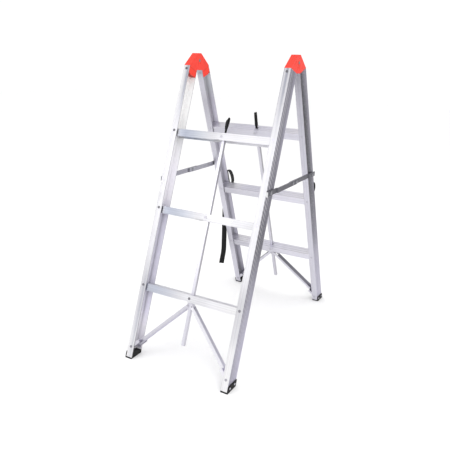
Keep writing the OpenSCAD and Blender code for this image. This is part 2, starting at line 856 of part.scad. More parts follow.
stile(false, true);  // front_left_stile
stile(false, false);  // front_right_stile
stile(true, true);  // rear_left_stile
stile(true, false);  // rear_right_stile
foot(false, true);  // front_left_foot
foot(false, false);  // front_right_foot
foot(true, true);  // rear_left_foot
foot(true, false);  // rear_right_foot
hinge_half(false, true);  // front_left_hinge_half
hinge_half(false, false);  // front_right_hinge_half
hinge_half(true, true);  // rear_left_hinge_half
hinge_half(true, false);  // rear_right_hinge_half
hinge_pin(true);  // left_hinge_pin
hinge_pin(false);  // right_hinge_pin
leg_rivets(false, true);  // front_left_rivets
leg_rivets(false, false);  // front_right_rivets
leg_rivets(true, true);  // rear_left_rivets
leg_rivets(true, false);  // rear_right_rivets
rung_half(false, true, 0);  // front_left_rung_top
rung_half(false, true, 1);  // front_left_rung_mid
rung_half(false, true, 2);  // front_left_rung_low
rung_half(false, false, 0);  // front_right_rung_top
rung_half(false, false, 1);  // front_right_rung_mid
rung_half(false, false, 2);  // front_right_rung_low
rung_half(true, true, 0);  // rear_left_rung_top
rung_half(true, true, 1);  // rear_left_rung_mid
rung_half(true, true, 2);  // rear_left_rung_low
rung_half(true, false, 0);  // rear_right_rung_top
rung_half(true, false, 1);  // rear_right_rung_mid
rung_half(true, false, 2);  // rear_right_rung_low
rod(false);  // front_rod
rod(true);  // rear_rod
middle_pins(false);  // front_middle_pins
middle_pins(true);  // rear_middle_pins
slider(false);  // front_slider
slider(true);  // rear_slider
brace(false, true);  // front_left_brace
brace(false, false);  // front_right_brace
brace(true, true);  // rear_left_brace
brace(true, false);  // rear_right_brace
brace_rivets(false, true);  // front_left_brace_rivets
brace_rivets(false, false);  // front_right_brace_rivets
brace_rivets(true, true);  // rear_left_brace_rivets
brace_rivets(true, false);  // rear_right_brace_rivets
spreader_front(true);  // left_spreader_front
spreader_rear(true);  // left_spreader_rear
spreader_front(false);  // right_spreader_front
spreader_rear(false);  // right_spreader_rear
knee_rivets(true);  // left_knee_rivets
knee_rivets(false);  // right_knee_rivets
spreader_front_rivet(true);  // left_spreader_front_rivet
spreader_front_rivet(false);  // right_spreader_front_rivet
spreader_rear_rivet(true);  // left_spreader_rear_rivet
spreader_rear_rivet(false);  // right_spreader_rear_rivet
pull_loop(false);  // front_pull_loop
pull_loop(true);  // rear_pull_loop
left_strap_loop();
left_strap_tail();
right_strap_loop();
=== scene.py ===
import math
from functools import partial

import bpy
import bmesh
from mathutils import Matrix, Vector


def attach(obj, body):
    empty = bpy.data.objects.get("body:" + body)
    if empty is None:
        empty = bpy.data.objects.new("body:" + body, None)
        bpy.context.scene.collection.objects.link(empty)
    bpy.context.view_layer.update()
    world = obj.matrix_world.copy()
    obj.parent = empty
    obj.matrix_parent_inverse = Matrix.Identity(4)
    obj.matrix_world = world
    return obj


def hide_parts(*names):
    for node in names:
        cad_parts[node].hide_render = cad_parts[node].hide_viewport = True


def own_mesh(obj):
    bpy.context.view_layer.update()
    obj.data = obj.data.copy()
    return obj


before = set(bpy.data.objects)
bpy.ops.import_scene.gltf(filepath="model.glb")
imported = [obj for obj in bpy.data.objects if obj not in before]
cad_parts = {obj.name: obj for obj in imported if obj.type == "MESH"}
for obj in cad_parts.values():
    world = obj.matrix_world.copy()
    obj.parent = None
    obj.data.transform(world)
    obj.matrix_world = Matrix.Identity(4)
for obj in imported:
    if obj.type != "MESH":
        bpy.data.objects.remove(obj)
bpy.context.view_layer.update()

# Main places of the ladder in metres: out is from the hinge line, down is along the stile
FLOOR_DOWN = 1.1875
LEAN = math.radians(20.3)
HALF_WIDTH = 0.225
STILE_FLANGE = 0.0265
FREE_EDGE = HALF_WIDTH - STILE_FLANGE
LEG_IN = 0.003
LEG_OUT = 0.059
LEG_MID = 0.031
PIN_HEIGHT = FLOOR_DOWN * math.cos(LEAN) - LEG_MID * math.sin(LEAN)
STILE_TOP = 0.041
PLUG_END = 0.072
PLUG_SLANT = 0.007
TOP_RUNG = 0.298
MIDDLE_RUNG = 0.603
MIDDLE_DROP = 0.00575
EAR_RADIUS = 0.011
RIVET_HEAD = 0.0016
BRACE_HALF_DEPTH = 0.0101
WEB_WIDTH = 0.024
WEB_THICK = 0.002
MILLIMETRE = 0.001

# Turns that bring the drawing direction of each piece to local Z
FRONT_TURN = (LEAN, 0.0, 0.0)
REAR_TURN = (-LEAN, 0.0, 0.0)
RUNG_TURN = (0.0, math.radians(90.0), 0.0)
BRACE_TURN = (0.0, math.radians(45.0), 0.0)


def leg_point(rear, x, out, down):
    """A point beside a leg: x across, out from the hinge line, and down along the stile."""
    y = down * math.sin(LEAN) + out * math.cos(LEAN)
    z = PIN_HEIGHT - down * math.cos(LEAN) + out * math.sin(LEAN)
    return Vector((x, y if rear else -y, z))


def leg_axes(rear):
    """Unit vectors of a leg: across, outward from the hinge line, and up along the stile."""
    side = 1.0 if rear else -1.0
    outward = Vector((0.0, side * math.cos(LEAN), math.sin(LEAN)))
    upward = Vector((0.0, -side * math.sin(LEAN), math.cos(LEAN)))
    return Vector((1.0, 0.0, 0.0)), outward, upward


def link(made):
    """Puts an object into the scene."""
    bpy.context.scene.collection.objects.link(made)
    return made


# Camera at the photograph's viewing angle: yaw, pitch and roll in degrees, lens in millimetres
CAMERA_ANGLES = (29.7466, 17.3298, 1.3024)
CAMERA_PLACE = (0.98791, -1.84404, 1.10516)
CAMERA_LENS = 42.183
SENSOR_WIDTH = 36.0
CAMERA_REACH = 100.0


def place_camera():
    yaw, pitch, roll = (math.radians(angle) for angle in CAMERA_ANGLES)
    level = math.cos(pitch)
    ahead = Vector((-math.sin(yaw) * level, math.cos(yaw) * level, -math.sin(pitch)))
    right = Vector((math.cos(yaw), math.sin(yaw), 0.0))
    up = right.cross(ahead)
    cam_x = math.cos(roll) * right + math.sin(roll) * up
    cam_y = math.cos(roll) * up - math.sin(roll) * right
    data = bpy.data.cameras.new("photo_camera")
    data.sensor_width = SENSOR_WIDTH
    data.lens = CAMERA_LENS
    data.clip_end = CAMERA_REACH
    camera = link(bpy.data.objects.new("photo_camera", data))
    turn = Matrix((cam_x, cam_y, -ahead)).transposed().to_4x4()
    camera.matrix_world = Matrix.Translation(CAMERA_PLACE) @ turn
    bpy.context.scene.camera = camera


place_camera()


# Node helpers
def add_node(tree, kind, **values):
    """A shader node with its settings."""
    made = tree.nodes.new(kind)
    for name, value in values.items():
        setattr(made, name, value)
    return made


def tree_of(*values):
    """The node tree that the first socket among some values belongs to."""
    return next(value.id_data for value in values if isinstance(value, bpy.types.NodeSocket))


def feed(value, socket):
    """Links an output to a socket, or gives the socket a number or a colour."""
    if isinstance(value, (int, float)):
        socket.default_value = value
    elif isinstance(value, tuple):
        socket.default_value = (*value, 1.0)
    else:
        socket.id_data.links.new(value, socket)


def new_group(name, inputs, outputs):
    """An empty shader node group; an input with a number is a value, one without is a vector."""
    tree = bpy.data.node_groups.new(name, "ShaderNodeTree")
    for socket_name, default in inputs.items():
        kind = "NodeSocketVector" if default is None else "NodeSocketFloat"
        socket = tree.interface.new_socket(socket_name, in_out="INPUT", socket_type=kind)
        if default is not None:
            socket.default_value = default
    for socket_name in outputs:
        tree.interface.new_socket(socket_name, in_out="OUTPUT", socket_type="NodeSocketFloat")
    inp, out = tree.nodes.new("NodeGroupInput"), tree.nodes.new("NodeGroupOutput")
    return tree, inp.outputs, out.inputs


def calc(operation, *values, clamp=False):
    """A number worked out from others."""
    made = add_node(tree_of(*values), "ShaderNodeMath", operation=operation, use_clamp=clamp)
    for value, socket in zip(values, made.inputs):
        feed(value, socket)
    return made.outputs[0]


def times(first, second):
    return calc("MULTIPLY", first, second)


def minus(first, second):
    return calc("SUBTRACT", first, second)


def size_of(value):
    return calc("ABSOLUTE", value)


def vector_calc(operation, first, second):
    made = add_node(tree_of(first), "ShaderNodeVectorMath", operation=operation)
    feed(first, made.inputs[0])
    feed(second, made.inputs[1])
    return made.outputs


def split(vector):
    """The X, Y and Z of a vector."""
    made = add_node(tree_of(vector), "ShaderNodeSeparateXYZ")
    feed(vector, made.inputs[0])
    return made.outputs


def remap(value, low, high, to_low=0.0, to_high=1.0):
    """A value carried from one range to another and held at its ends."""
    made = add_node(tree_of(value), "ShaderNodeMapRange")
    for number, socket in zip((value, low, high, to_low, to_high), made.inputs):
        feed(number, socket)
    return made.outputs["Result"]


def left_under(mask, share):
    """One where a mask is empty, and a share where it is full."""
    return remap(mask, 0.0, 1.0, 1.0, share)


def between(value, low, high, soft):
    """One where a value lies between two others, falling off to zero over a soft width."""
    return times(remap(value, low, low + soft),
                 remap(value, high - soft, high, 1.0, 0.0))


def mix_colour(factor, first, second, blend="MIX"):
    tree = tree_of(factor, first, second)
    made = add_node(tree, "ShaderNodeMix", data_type="RGBA", blend_type=blend)
    for index, value in ((0, factor), (6, first), (7, second)):
        feed(value, made.inputs[index])
    return made.outputs[2]


def noise(vector, scale, detail=2.0, roughness=0.5):
    made = add_node(tree_of(vector), "ShaderNodeTexNoise")
    values = {"Vector": vector, "Scale": scale, "Detail": detail, "Roughness": roughness}
    for name, value in values.items():
        feed(value, made.inputs[name])
    return made.outputs["Fac"]


def turned(vector, rotation, scale=(1.0, 1.0, 1.0)):
    """A vector turned about the axes and scaled."""
    made = add_node(tree_of(vector), "ShaderNodeMapping")
    feed(vector, made.inputs["Vector"])
    made.inputs["Rotation"].default_value = rotation
    made.inputs["Scale"].default_value = scale
    return made.outputs[0]


# Shared effects: the spreads of noise that they read, and the sizes and shapes of their marks
NOISE_SPREAD, NOISE_MIDDLE = (0.3, 0.7), (0.35, 0.65)
BROAD_LINES = 0.13
EDGE_FACING, EDGE_GRAINS = (0.99, 0.86), (0.38, 0.62, 0.15, 1.0)
SMUDGE_SIZE, SMUDGE_SPREAD = 9.0, (0.35, 0.7)
SCRATCH_TURN, SCRATCH_SIZE, SCRATCH_SPREAD = (0.5, 0.9, 0.35), (700.0, 24.0, 24.0), (0.74, 0.8)
UNEVEN_SIZE = 28.0
TWILL_SLANT, RIB_FULLNESS, PICK_FULLNESS = 0.5, 0.6, 0.5


def build_drawn_lines():
    """Die lines of drawn aluminium: fine, long streaks along local Z."""
    tree, inp, out = new_group(
        "drawn_lines", {"Vector": None, "Lines": 900.0, "Run": 1.2}, ["Fine", "Broad"])
    stretch = add_node(tree, "ShaderNodeCombineXYZ")
    for name, axis in (("Lines", "X"), ("Lines", "Y"), ("Run", "Z")):
        feed(inp[name], stretch.inputs[axis])
    scaled = vector_calc("MULTIPLY", inp["Vector"], stretch.outputs[0])[0]
    feed(noise(scaled, 1.0, detail=3.0, roughness=0.6), out["Fine"])
    feed(noise(scaled, BROAD_LINES), out["Broad"])
    return tree


def build_edge_wear_and_highlight():
    """A mask along edges, broken up by noise: worn edges, and the painted highlight on cap edges.
    """
    tree, inp, out = new_group(
        "edge_wear_and_highlight", {"Vector": None, "Reach": 0.0009, "Break Up": 140.0}, ["Mask"])
    bevel = add_node(tree, "ShaderNodeBevel", samples=4)
    feed(inp["Reach"], bevel.inputs["Radius"])
    normal = add_node(tree, "ShaderNodeNewGeometry").outputs["Normal"]
    facing = vector_calc("DOT_PRODUCT", bevel.outputs[0], normal)["Value"]
    edge = remap(facing, *EDGE_FACING)
    broken = remap(noise(inp["Vector"], inp["Break Up"]), *EDGE_GRAINS)
    feed(calc("MULTIPLY", edge, broken, clamp=True), out["Mask"])
    return tree


def build_handling_marks():
    """Soft smudges and a few fine scratches, as handled metal and plastic gather."""
    tree, inp, out = new_group("handling_marks", {"Vector": None}, ["Smudge", "Scratch"])
    cloud = noise(inp["Vector"], SMUDGE_SIZE, detail=4.0, roughness=0.6)
    feed(remap(cloud, *SMUDGE_SPREAD), out["Smudge"])
    strokes = turned(inp["Vector"], SCRATCH_TURN, SCRATCH_SIZE)
    lines = noise(strokes, 1.0, detail=1.0, roughness=0.4)
    feed(remap(lines, *SCRATCH_SPREAD), out["Scratch"])
    return tree


def build_moulded_grain():
    """Fine spark-eroded grain of moulded plastic and rubber."""
    tree, inp, out = new_group(
        "moulded_grain", {"Vector": None, "Size": 1500.0}, ["Height", "Tone"])
    feed(noise(inp["Vector"], inp["Size"]), out["Height"])
    uneven = noise(inp["Vector"], UNEVEN_SIZE, detail=3.0, roughness=0.55)
    feed(uneven, out["Tone"])
    return tree


def build_webbing_weave():
    """Woven webbing from a strip's own coordinates in metres: U across the strip, V along it."""
    tree, inp, out = new_group("webbing_weave", {"UV": None, "Yarn": 0.0016}, ["Height"])
    parts = split(inp["UV"])
    across = calc("DIVIDE", parts["X"], inp["Yarn"])
    along = calc("DIVIDE", parts["Y"], inp["Yarn"])
    twill = calc("ADD", along, times(across, TWILL_SLANT))

    def yarns(place, fullness):
        wave = size_of(calc("SINE", times(place, math.pi)))
        return calc("POWER", wave, fullness)

    height = times(yarns(across, RIB_FULLNESS), yarns(twill, PICK_FULLNESS))
    feed(height, out["Height"])
    return tree


def build_leg_places():
    """Places on a leg from a vector turned along it.

    They are across from the middle, out from the hinge line, and down the stile.
    """
    tree, inp, out = new_group("leg_places", {"Vector": None}, ["Across", "Out", "Down"])
    parts = split(inp["Vector"])
    depth = size_of(parts["Y"])
    feed(size_of(parts["X"]), out["Across"])
    feed(minus(depth, PIN_HEIGHT * math.sin(LEAN)), out["Out"])
    feed(minus(PIN_HEIGHT * math.cos(LEAN), parts["Z"]), out["Down"])
    return tree


def build_groove_lines():
    """A mask of even grooves across a length in metres."""
    tree, inp, out = new_group(
        "groove_lines", {"Place": 0.0, "Pitch": 0.008, "Width": 0.001}, ["Mask"])
    half_pitch = calc("DIVIDE", inp["Pitch"], 2.0)
    away = calc("PINGPONG", inp["Place"], half_pitch)
    share = calc("DIVIDE", away, inp["Width"])
    feed(calc("SUBTRACT", 1.0, share, clamp=True), out["Mask"])
    return tree


DRAWN_LINES = build_drawn_lines()
EDGE_WEAR_AND_HIGHLIGHT = build_edge_wear_and_highlight()
HANDLING_MARKS = build_handling_marks()
MOULDED_GRAIN = build_moulded_grain()
WEBBING_WEAVE = build_webbing_weave()
LEG_PLACES = build_leg_places()
GROOVE_LINES = build_groove_lines()


def place_group(group, **sockets):
    """The outputs of a shared effect, placed in a material with its own values."""
    tree = tree_of(*sockets.values())
    made = add_node(tree, "ShaderNodeGroup", label=group.name, node_tree=group)
    for name, value in sockets.items():
        feed(value, made.inputs[name])
    return made.outputs


def start_material(name):
    material = bpy.data.materials.new(name)
    material.use_nodes = True
    tree = material.node_tree
    tree.nodes.clear()
    shader = tree.nodes.new("ShaderNodeBsdfPrincipled")
    output = tree.nodes.new("ShaderNodeOutputMaterial")
    feed(shader.outputs[0], output.inputs["Surface"])
    return material, tree, shader


def object_vector(tree, rotation=(0.0, 0.0, 0.0)):
    """The place on the ladder at rest, turned about the axes."""
    return turned(add_node(tree, "ShaderNodeTexCoord").outputs["Object"], rotation)


def face_part(tree, axis):
    """One part of the surface direction at rest."""
    return split(add_node(tree, "ShaderNodeTexCoord").outputs["Normal"])[axis]


def leg_places(tree, rear):
    vector = object_vector(tree, REAR_TURN if rear else FRONT_TURN)
    places = place_group(LEG_PLACES, Vector=vector)
    return places["Across"], places["Out"], places["Down"]


def add_bump(shader, height, strength, distance):
    bump = add_node(tree_of(height), "ShaderNodeBump")
    for name, value in (("Strength", strength), ("Distance", distance), ("Height", height)):
        feed(value, bump.inputs[name])
    feed(bump.outputs[0], shader.inputs["Normal"])


# Faint violet cast of the metal, as shifts of red, green and blue: partly the mill finish,
# and partly a painted tint of reflected light, taken more strongly on shaded faces
MILL_CAST = (-0.026, -0.042, 0.055)
WHITE = (1.0, 1.0, 1.0)


def tinted(value, cast=1.0):
    """A metal tone with the violet cast at a given strength."""
    return tuple(min(1.0, value * (1.0 + shift * cast)) for shift in MILL_CAST)


def tone_run(value, stops, cast=1.0):
    """A smooth run of tones along a length; stops are (place in metres, tone or colour)."""
    start, end = stops[0][0], stops[-1][0]
    made = add_node(tree_of(value), "ShaderNodeValToRGB")
    feed(remap(value, start, end), made.inputs[0])
    line = made.color_ramp.elements
    while len(line) < len(stops):
        line.new(0.5)
    for element, (place, tone) in zip(line, stops):
        element.position = (place - start) / (end - start)
        element.color = (*(tone if isinstance(tone, tuple) else tinted(tone, cast)), 1.0)
    return made.outputs["Color"]


def share_run(value, stops):
    """A smooth run of plain shares along a length."""
    return tone_run(value, stops, cast=0.0)


def darken(colour, *shares):
    """A colour times grey shares."""
    for share in shares:
        grey = add_node(tree_of(share), "ShaderNodeCombineColor")
        for socket in grey.inputs:
            feed(share, socket)
        colour = mix_colour(1.0, colour, grey.outputs[0], blend="MULTIPLY")
    return colour


def groove_mask(place, pitch, width):
    return place_group(GROOVE_LINES, Place=place, Pitch=pitch, Width=width)["Mask"]


def grooves(place, pitch, width, depth):
    """A share of light left along even grooves."""
    return left_under(groove_mask(place, pitch, width), 1.0 - depth)


# Section of a stile in metres: skins of its faces, painted shading inside, and zones and
# painted glints of its web
INSIDE_SKIN, INSIDE_SOFT = 0.0012, 0.0004
LIP_SKIN, LIP_SOFT, LIP_START = 0.0021, 0.0003, 0.4
WEB_SKIN, WEB_SKIN_END = 0.0009, 0.0006
FRONT_SHADING, REAR_SHADING = (0.014, 0.0205), (0.009, 0.018)
CORNER_ON_FLANGE, CORNER_ON_WEB, CORNER_SHIFT = 0.0025, 0.0045, 0.010
CORNER_TURN = (LEG_IN + 0.0030, LEG_IN + 0.0040)
WEB_ZONES = ((0.012, 0.029), (0.033, 0.050))
GLINT_ZONE, GLINT_SLANT, GLINT_PITCH, GLINT_WIDTH = (0.022, 0.040), 0.606, 0.0175, 0.0062
# Colours of the painted shade bands on the flange, the painted shadow line along its free edge, and
# the painted glint highlights on the web
BAND_SHADE, LIP_SHADE, GLINT_TONE = (0.0, 0.02, 0.16), (0.10, 0.10, 0.12), (0.74, 0.73, 0.76)
# Strength of the cast, a painted tint of reflected light: weakest on the lit front flanges
FRONT_CAST, REAR_CAST, INSIDE_CAST, WEB_CAST = 0.4, 1.0, 1.1, 1.8
INSIDE_DULLED, INSIDE_METAL = 0.16, 0.25


def flange_tones(across, down, flange, bands, cast):
    """The flange faces: painted highlight and shade down the stile, shallow bands of painted shade.
    """
    ground = tone_run(down, flange, cast)
    for profile, depth in bands:
        shape = share_run(across, [(FREE_EDGE + STILE_FLANGE * s, v) for s, v in profile])
        mask = times(shape, share_run(down, depth))
        ground = mix_colour(mask, ground, BAND_SHADE)
    return ground


def inside_tones(across, back, down, shading, corner, web_inside, evened, inside):
    """The channel's inside, with painted shade towards the corner of the far flange and the web."""
    clear, fade = shading
    half_way = (1.0 + corner) / 2
    on_flange = share_run(across, [
        (FREE_EDGE, 1.0), (FREE_EDGE + clear, 1.0), (FREE_EDGE + fade, half_way),
        (HALF_WIDTH - CORNER_ON_FLANGE, corner), (HALF_WIDTH, corner)])
    on_web = share_run(back, [
        (LEG_IN, corner), (LEG_IN + CORNER_ON_WEB, corner),
        (LEG_IN + fade - CORNER_SHIFT, half_way * web_inside), (LEG_OUT, web_inside)])
    share = mix_colour(remap(back, *CORNER_TURN), on_flange, on_web)
    share = mix_colour(share_run(down, evened), share, WHITE)
    run = tone_run(down, inside, INSIDE_CAST)
    return mix_colour(1.0, run, share, blend="MULTIPLY")


def web_tones(out, down, web_in, web_middle, web_out, glints):
    """The ribbed outer web: painted shade in three zones across it, and painted glints on the ribs.
    """
    web = tone_run(down, web_in, WEB_CAST)
    for zone, run in zip(WEB_ZONES, (web_middle, web_out)):
        web = mix_colour(remap(out, *zone), web, tone_run(down, run, WEB_CAST))
    slanted = calc("ADD", down, times(out, GLINT_SLANT))
    glint = groove_mask(slanted, GLINT_PITCH, GLINT_WIDTH)
    far = times(remap(out, *GLINT_ZONE), share_run(down, glints))
    return mix_colour(times(glint, far), web, GLINT_TONE)


def paint_stile(tree, rear, flange, bands, edge, inside, corner, web_inside, evened, **web_runs):
    """Painted light and shade of a stile: flanges, the channel's inside, and the ribbed outer web.

    The runs go down the stile and paint its light and shade. A band is its profile across the
    flange from the free edge, and its depth down the stile. The edge is how far the painted shadow
    line along the flange's free edge reaches, and its depth. The corner and the web inside are
    shares of the inside tone in its painted shade, evened out down the stile.
    """
    across, out, down = leg_places(tree, rear)
    # Painted highlight and shade on the flanges
    ground = flange_tones(across, down, flange, bands, REAR_CAST if rear else FRONT_CAST)
    back = minus(LEG_IN + LEG_OUT, out) if rear else out
    shading = REAR_SHADING if rear else FRONT_SHADING
    # Painted shade inside the channel
    lined = inside_tones(across, back, down, shading, corner, web_inside, evened, inside)
    hidden = between(out, LEG_IN + INSIDE_SKIN, LEG_OUT - INSIDE_SKIN, INSIDE_SOFT)
    ground = mix_colour(hidden, ground, lined)
    # A painted shadow line along the flange's free edge
    reach, depth = edge
    covered = between(out, LEG_IN + LIP_SKIN, LEG_OUT - LIP_SKIN, LIP_SOFT)
    rim = remap(across, FREE_EDGE + reach * LIP_START, FREE_EDGE + reach, depth, 0.0)
    lip = times(minus(1.0, covered), rim)
    ground = mix_colour(lip, ground, LIP_SHADE)
    # Painted shade and glint highlights on the outer web
    web = web_tones(out, down, **web_runs)
    outside = remap(across, HALF_WIDTH - WEB_SKIN, HALF_WIDTH - WEB_SKIN_END)
    inner = times(hidden, minus(1.0, outside))
    return (mix_colour(outside, ground, web), times(inner, INSIDE_DULLED),
            left_under(inner, INSIDE_METAL))


# Section of a rung in metres: pitch, width and depth of the painted shade in its grooves,
# and its inner wall
FACE_GROOVES = (0.0072, 0.0011, 0.07)
TREAD_GROOVES = (0.0135, 0.0024, 0.30)
TREAD_FACING = (0.6, 0.8)
INNER_WALL, INNER_WALL_METAL = (0.0128, 0.0136), 0.15
# Strength of the painted violet tint: weaker on the lit front rungs
FRONT_RUNG_CAST, REAR_RUNG_CAST = 0.45, 1.0


def paint_rung(tree, rear, face, tread):
    """Painted reflection on a rung half from left to right; painted shade in tread and face
    grooves.
    """
    cast = REAR_RUNG_CAST if rear else FRONT_RUNG_CAST
    _, out, down = leg_places(tree, rear)
    x = split(object_vector(tree))["X"]
    top = remap(face_part(tree, "Z"), *TREAD_FACING)
    face_tone = darken(tone_run(x, face, cast), grooves(down, *FACE_GROOVES))
    tread_tone = darken(tone_run(x, tread, cast), grooves(out, *TREAD_GROOVES))
    metal = None
    if not rear:
        metal = remap(remap(out, *INNER_WALL), 0.0, 1.0, INNER_WALL_METAL, 1.0)
    return mix_colour(top, face_tone, tread_tone), None, metal


# Braces and rods: how far a face turns sideways, and the skin of a brace in metres
BRACE_FACING, ROD_FACING = (0.2, 0.45), (0.4, 0.7)
BRACE_SKIN = (BRACE_HALF_DEPTH - 0.0006, BRACE_HALF_DEPTH - 0.0010)
BRACE_WEB_CAST, BRACE_INSIDE_METAL = 1.6, 0.3


def sideways(tree, facing):
    """A mask of the faces that look to the left or the right."""
    return remap(size_of(face_part(tree, "X")), *facing)


def paint_brace(tree, rear, face, web, inside):
    """Painted light and shade of a brace: its faces, its upper edge's web down the leg, its inside.
    """
    on_web = sideways(tree, BRACE_FACING)
    _, out, down = leg_places(tree, rear)
    web_tone = tone_run(down, web, BRACE_WEB_CAST)
    outer = mix_colour(on_web, tinted(face), web_tone)
    inner = remap(size_of(minus(out, LEG_MID)), *BRACE_SKIN)
    inner = times(inner, minus(1.0, on_web))
    return (mix_colour(inner, outer, tinted(inside)), None,
            left_under(inner, BRACE_INSIDE_METAL))


def paint_rod(tree, front, side):
    """Painted light and shade of a rod by height: its front and rear faces, and its sides."""
    z = split(object_vector(tree))["Z"]
    faces = tone_run(z, front), tone_run(z, side)
    return mix_colour(sideways(tree, ROD_FACING), *faces), None, None


# Drawn aluminium: what its streaks, bands, smudges, scratches and worn edges do to tone and shine
STREAK_TONES, BAND_TONES = (0.86, 1.06), (1.0, 0.95)
STREAK_DULL, STREAK_BRIGHT = 0.06, 0.05
METAL_SMUDGED, SMUDGE_DULLED, SCRATCH_SHINE = 0.965, 0.07, 0.1
METAL_WORN, METAL_EDGE = 0.5, (0.90, 0.90, 0.91)


def drawn_aluminium(name, rotation, paint, rough=0.34, lines=900.0):
    """Mill-finish aluminium; the rotation brings the drawing direction to local Z.

    A paint gives its colour, painted with light and shade, and where they differ over the piece,
    more roughness and its metal.
    """
    material, tree, shader = start_material(name)
    plain = object_vector(tree)
    drawn = place_group(DRAWN_LINES, Vector=object_vector(tree, rotation), Lines=lines)
    marks = place_group(HANDLING_MARKS, Vector=plain)
    edge_marks = place_group(EDGE_WEAR_AND_HIGHLIGHT, Vector=plain)
    ground, more_rough, metal = paint(tree)
    streak = remap(drawn["Fine"], *NOISE_SPREAD, *STREAK_TONES)
    band = remap(drawn["Broad"], *NOISE_MIDDLE, *BAND_TONES)
    shaded = darken(ground, streak, band, left_under(marks["Smudge"], METAL_SMUDGED))
    edge_toned = mix_colour(times(edge_marks["Mask"], METAL_WORN), shaded, METAL_EDGE)
    feed(edge_toned, shader.inputs["Base Color"])
    shine = remap(drawn["Fine"], *NOISE_SPREAD, rough + STREAK_DULL, rough - STREAK_BRIGHT)
    shine = calc("ADD", shine, times(marks["Smudge"], SMUDGE_DULLED))
    shine = minus(shine, times(marks["Scratch"], SCRATCH_SHINE))
    if more_rough is not None:
        shine = calc("ADD", shine, more_rough)
    feed(shine, shader.inputs["Roughness"])
    feed(1.0 if metal is None else metal, shader.inputs["Metallic"])
    add_bump(shader, drawn["Fine"], strength=0.25, distance=0.00012)
    return material


def paint_by_height(tree, stops):
    """Painted light and shade of small fasteners by their height on the ladder."""
    return tone_run(split(object_vector(tree))["Z"], stops)


# Spreaders: tones of the faces that look out and in, the inner ones painted lighter as they are
# lit, and the softness of the start of the painted highlight on the front tab
SPREADER_OUTER, SPREADER_INNER = (0.142, 0.14, 0.162), (0.46, 0.455, 0.51)
OUTWARD_FACING, TAB_SOFT = (-0.2, 0.2), 0.002


def paint_spreader(tree, tab, tab_from):
    """Tones of a spreader: outer faces, inner faces painted lighter, and a painted highlight
    on its front tab from a depth on.
    """
    place = split(object_vector(tree))
    outward = times(face_part(tree, "X"), calc("SIGN", place["X"]))
    facing_out = remap(outward, *OUTWARD_FACING)
    ground = mix_colour(facing_out, SPREADER_INNER, SPREADER_OUTER)
    at_tab = remap(place["Y"], -tab_from + TAB_SOFT, -tab_from)
    return mix_colour(at_tab, ground, tab)


# Plated steel: size of its spangle, what spangle and smudges leave of its tone, and its edges
SPANGLE_SIZE, SPANGLE_DEPTH, SPANGLE_BRIGHT, SPANGLE_DULL = 120.0, 0.28, 0.06, 0.08
STEEL_SMUDGED, STEEL_WORN, STEEL_EDGE_REACH = 0.93, 0.55, 0.0007


def plated_steel(name, tone, cloudiness, worn_tone, rough=0.36):
    """Zinc-plated steel with a faintly clouded coat; tone is a colour or a paint."""
    material, tree, shader = start_material(name)
    vector = object_vector(tree)
    marks = place_group(HANDLING_MARKS, Vector=vector)
    edge_marks = place_group(EDGE_WEAR_AND_HIGHLIGHT, Vector=vector, Reach=STEEL_EDGE_REACH)
    spangle = noise(vector, SPANGLE_SIZE, detail=3.0, roughness=0.6)
    ground = tone(tree) if callable(tone) else tone
    cloud = remap(spangle, *NOISE_MIDDLE, 1.0, 1.0 - SPANGLE_DEPTH * cloudiness)
    shaded = darken(ground, cloud, left_under(marks["Smudge"], STEEL_SMUDGED))
    edge_toned = mix_colour(times(edge_marks["Mask"], STEEL_WORN), shaded, worn_tone)
    feed(edge_toned, shader.inputs["Base Color"])
    shine = remap(spangle, *NOISE_SPREAD, rough - SPANGLE_BRIGHT, rough + SPANGLE_DULL)
    feed(shine, shader.inputs["Roughness"])
    shader.inputs["Metallic"].default_value = 1.0
    add_bump(shader, spangle, strength=0.15, distance=0.00015)
    return material


# Hinge caps: reds of the knuckle, the plug, and the painted shadow in the plug's notch, and where
# they change in metres; the plug is partly a deeper red and partly painted shade, and the wing
# side, the seam and the plug's end are darkened as painted shade
KNUCKLE_RED = (0.865, 0.044, 0.025)
PLUG_RED = (0.845, 0.036, 0.016)
NOTCH_SHADOW_RED = (0.08, 0.012, 0.010)
WING_FROM, WING_TO, WING_LEFT = 0.020, 0.032, 0.95
PLUG_SOFT = 0.0015
SEAM_FROM, SEAM_TO, SEAM_LEFT = STILE_TOP - 0.0005, STILE_TOP + 0.005, 0.84
NOTCH_DOWN = (PLUG_END - 0.006, PLUG_END - 0.001)
NOTCH_OUT = (LEG_OUT - 0.016, LEG_OUT - 0.008)
END_FACING, END_DOWN, END_LEFT = (-0.75, -0.88), (PLUG_END - 0.002, PLUG_END - 0.001), 0.5


def paint_cap(tree, rear):
    """Tones of a hinge cap half: the knuckle with painted shade on its wing side, and the plug
    with painted shade along its seam, in its notch and on its end face.
    """
    _, out, down = leg_places(tree, rear)
    chin = minus(down, remap(out, LEG_IN, LEG_OUT, PLUG_SLANT, 0.0))
    # Painted shade: darker towards the wing side, along the seam, in the notch and on the plug's
    # end
    ground = darken(KNUCKLE_RED, remap(out, WING_FROM, WING_TO, 1.0, WING_LEFT))
    below = remap(chin, STILE_TOP, STILE_TOP + PLUG_SOFT)
    ground = mix_colour(below, ground, PLUG_RED)
    seam = between(chin, SEAM_FROM, SEAM_TO, PLUG_SOFT)
    ground = darken(ground, left_under(seam, SEAM_LEFT))
    notch = times(remap(down, *NOTCH_DOWN), remap(out, *NOTCH_OUT))
    end = times(remap(face_part(tree, "Z"), *END_FACING), remap(down, *END_DOWN))
    ground = darken(ground, left_under(end, END_LEFT))
    return mix_colour(notch, ground, NOTCH_SHADOW_RED)


# Plastic and rubber: unevenness of tone, dust, dulling by smudges, and lighter edges, rubbed
# on rubber and thread and a painted highlight on the caps
GRAIN_TONES, GRAIN_BRIGHT, GRAIN_DULL = (0.92, 1.05), 0.05, 0.06
DUST_SHARE, PLASTIC_DULLED = 0.28, 0.06
PLASTIC_EDGE_SHARE, PLASTIC_EDGE_REACH = 0.5, 0.0012


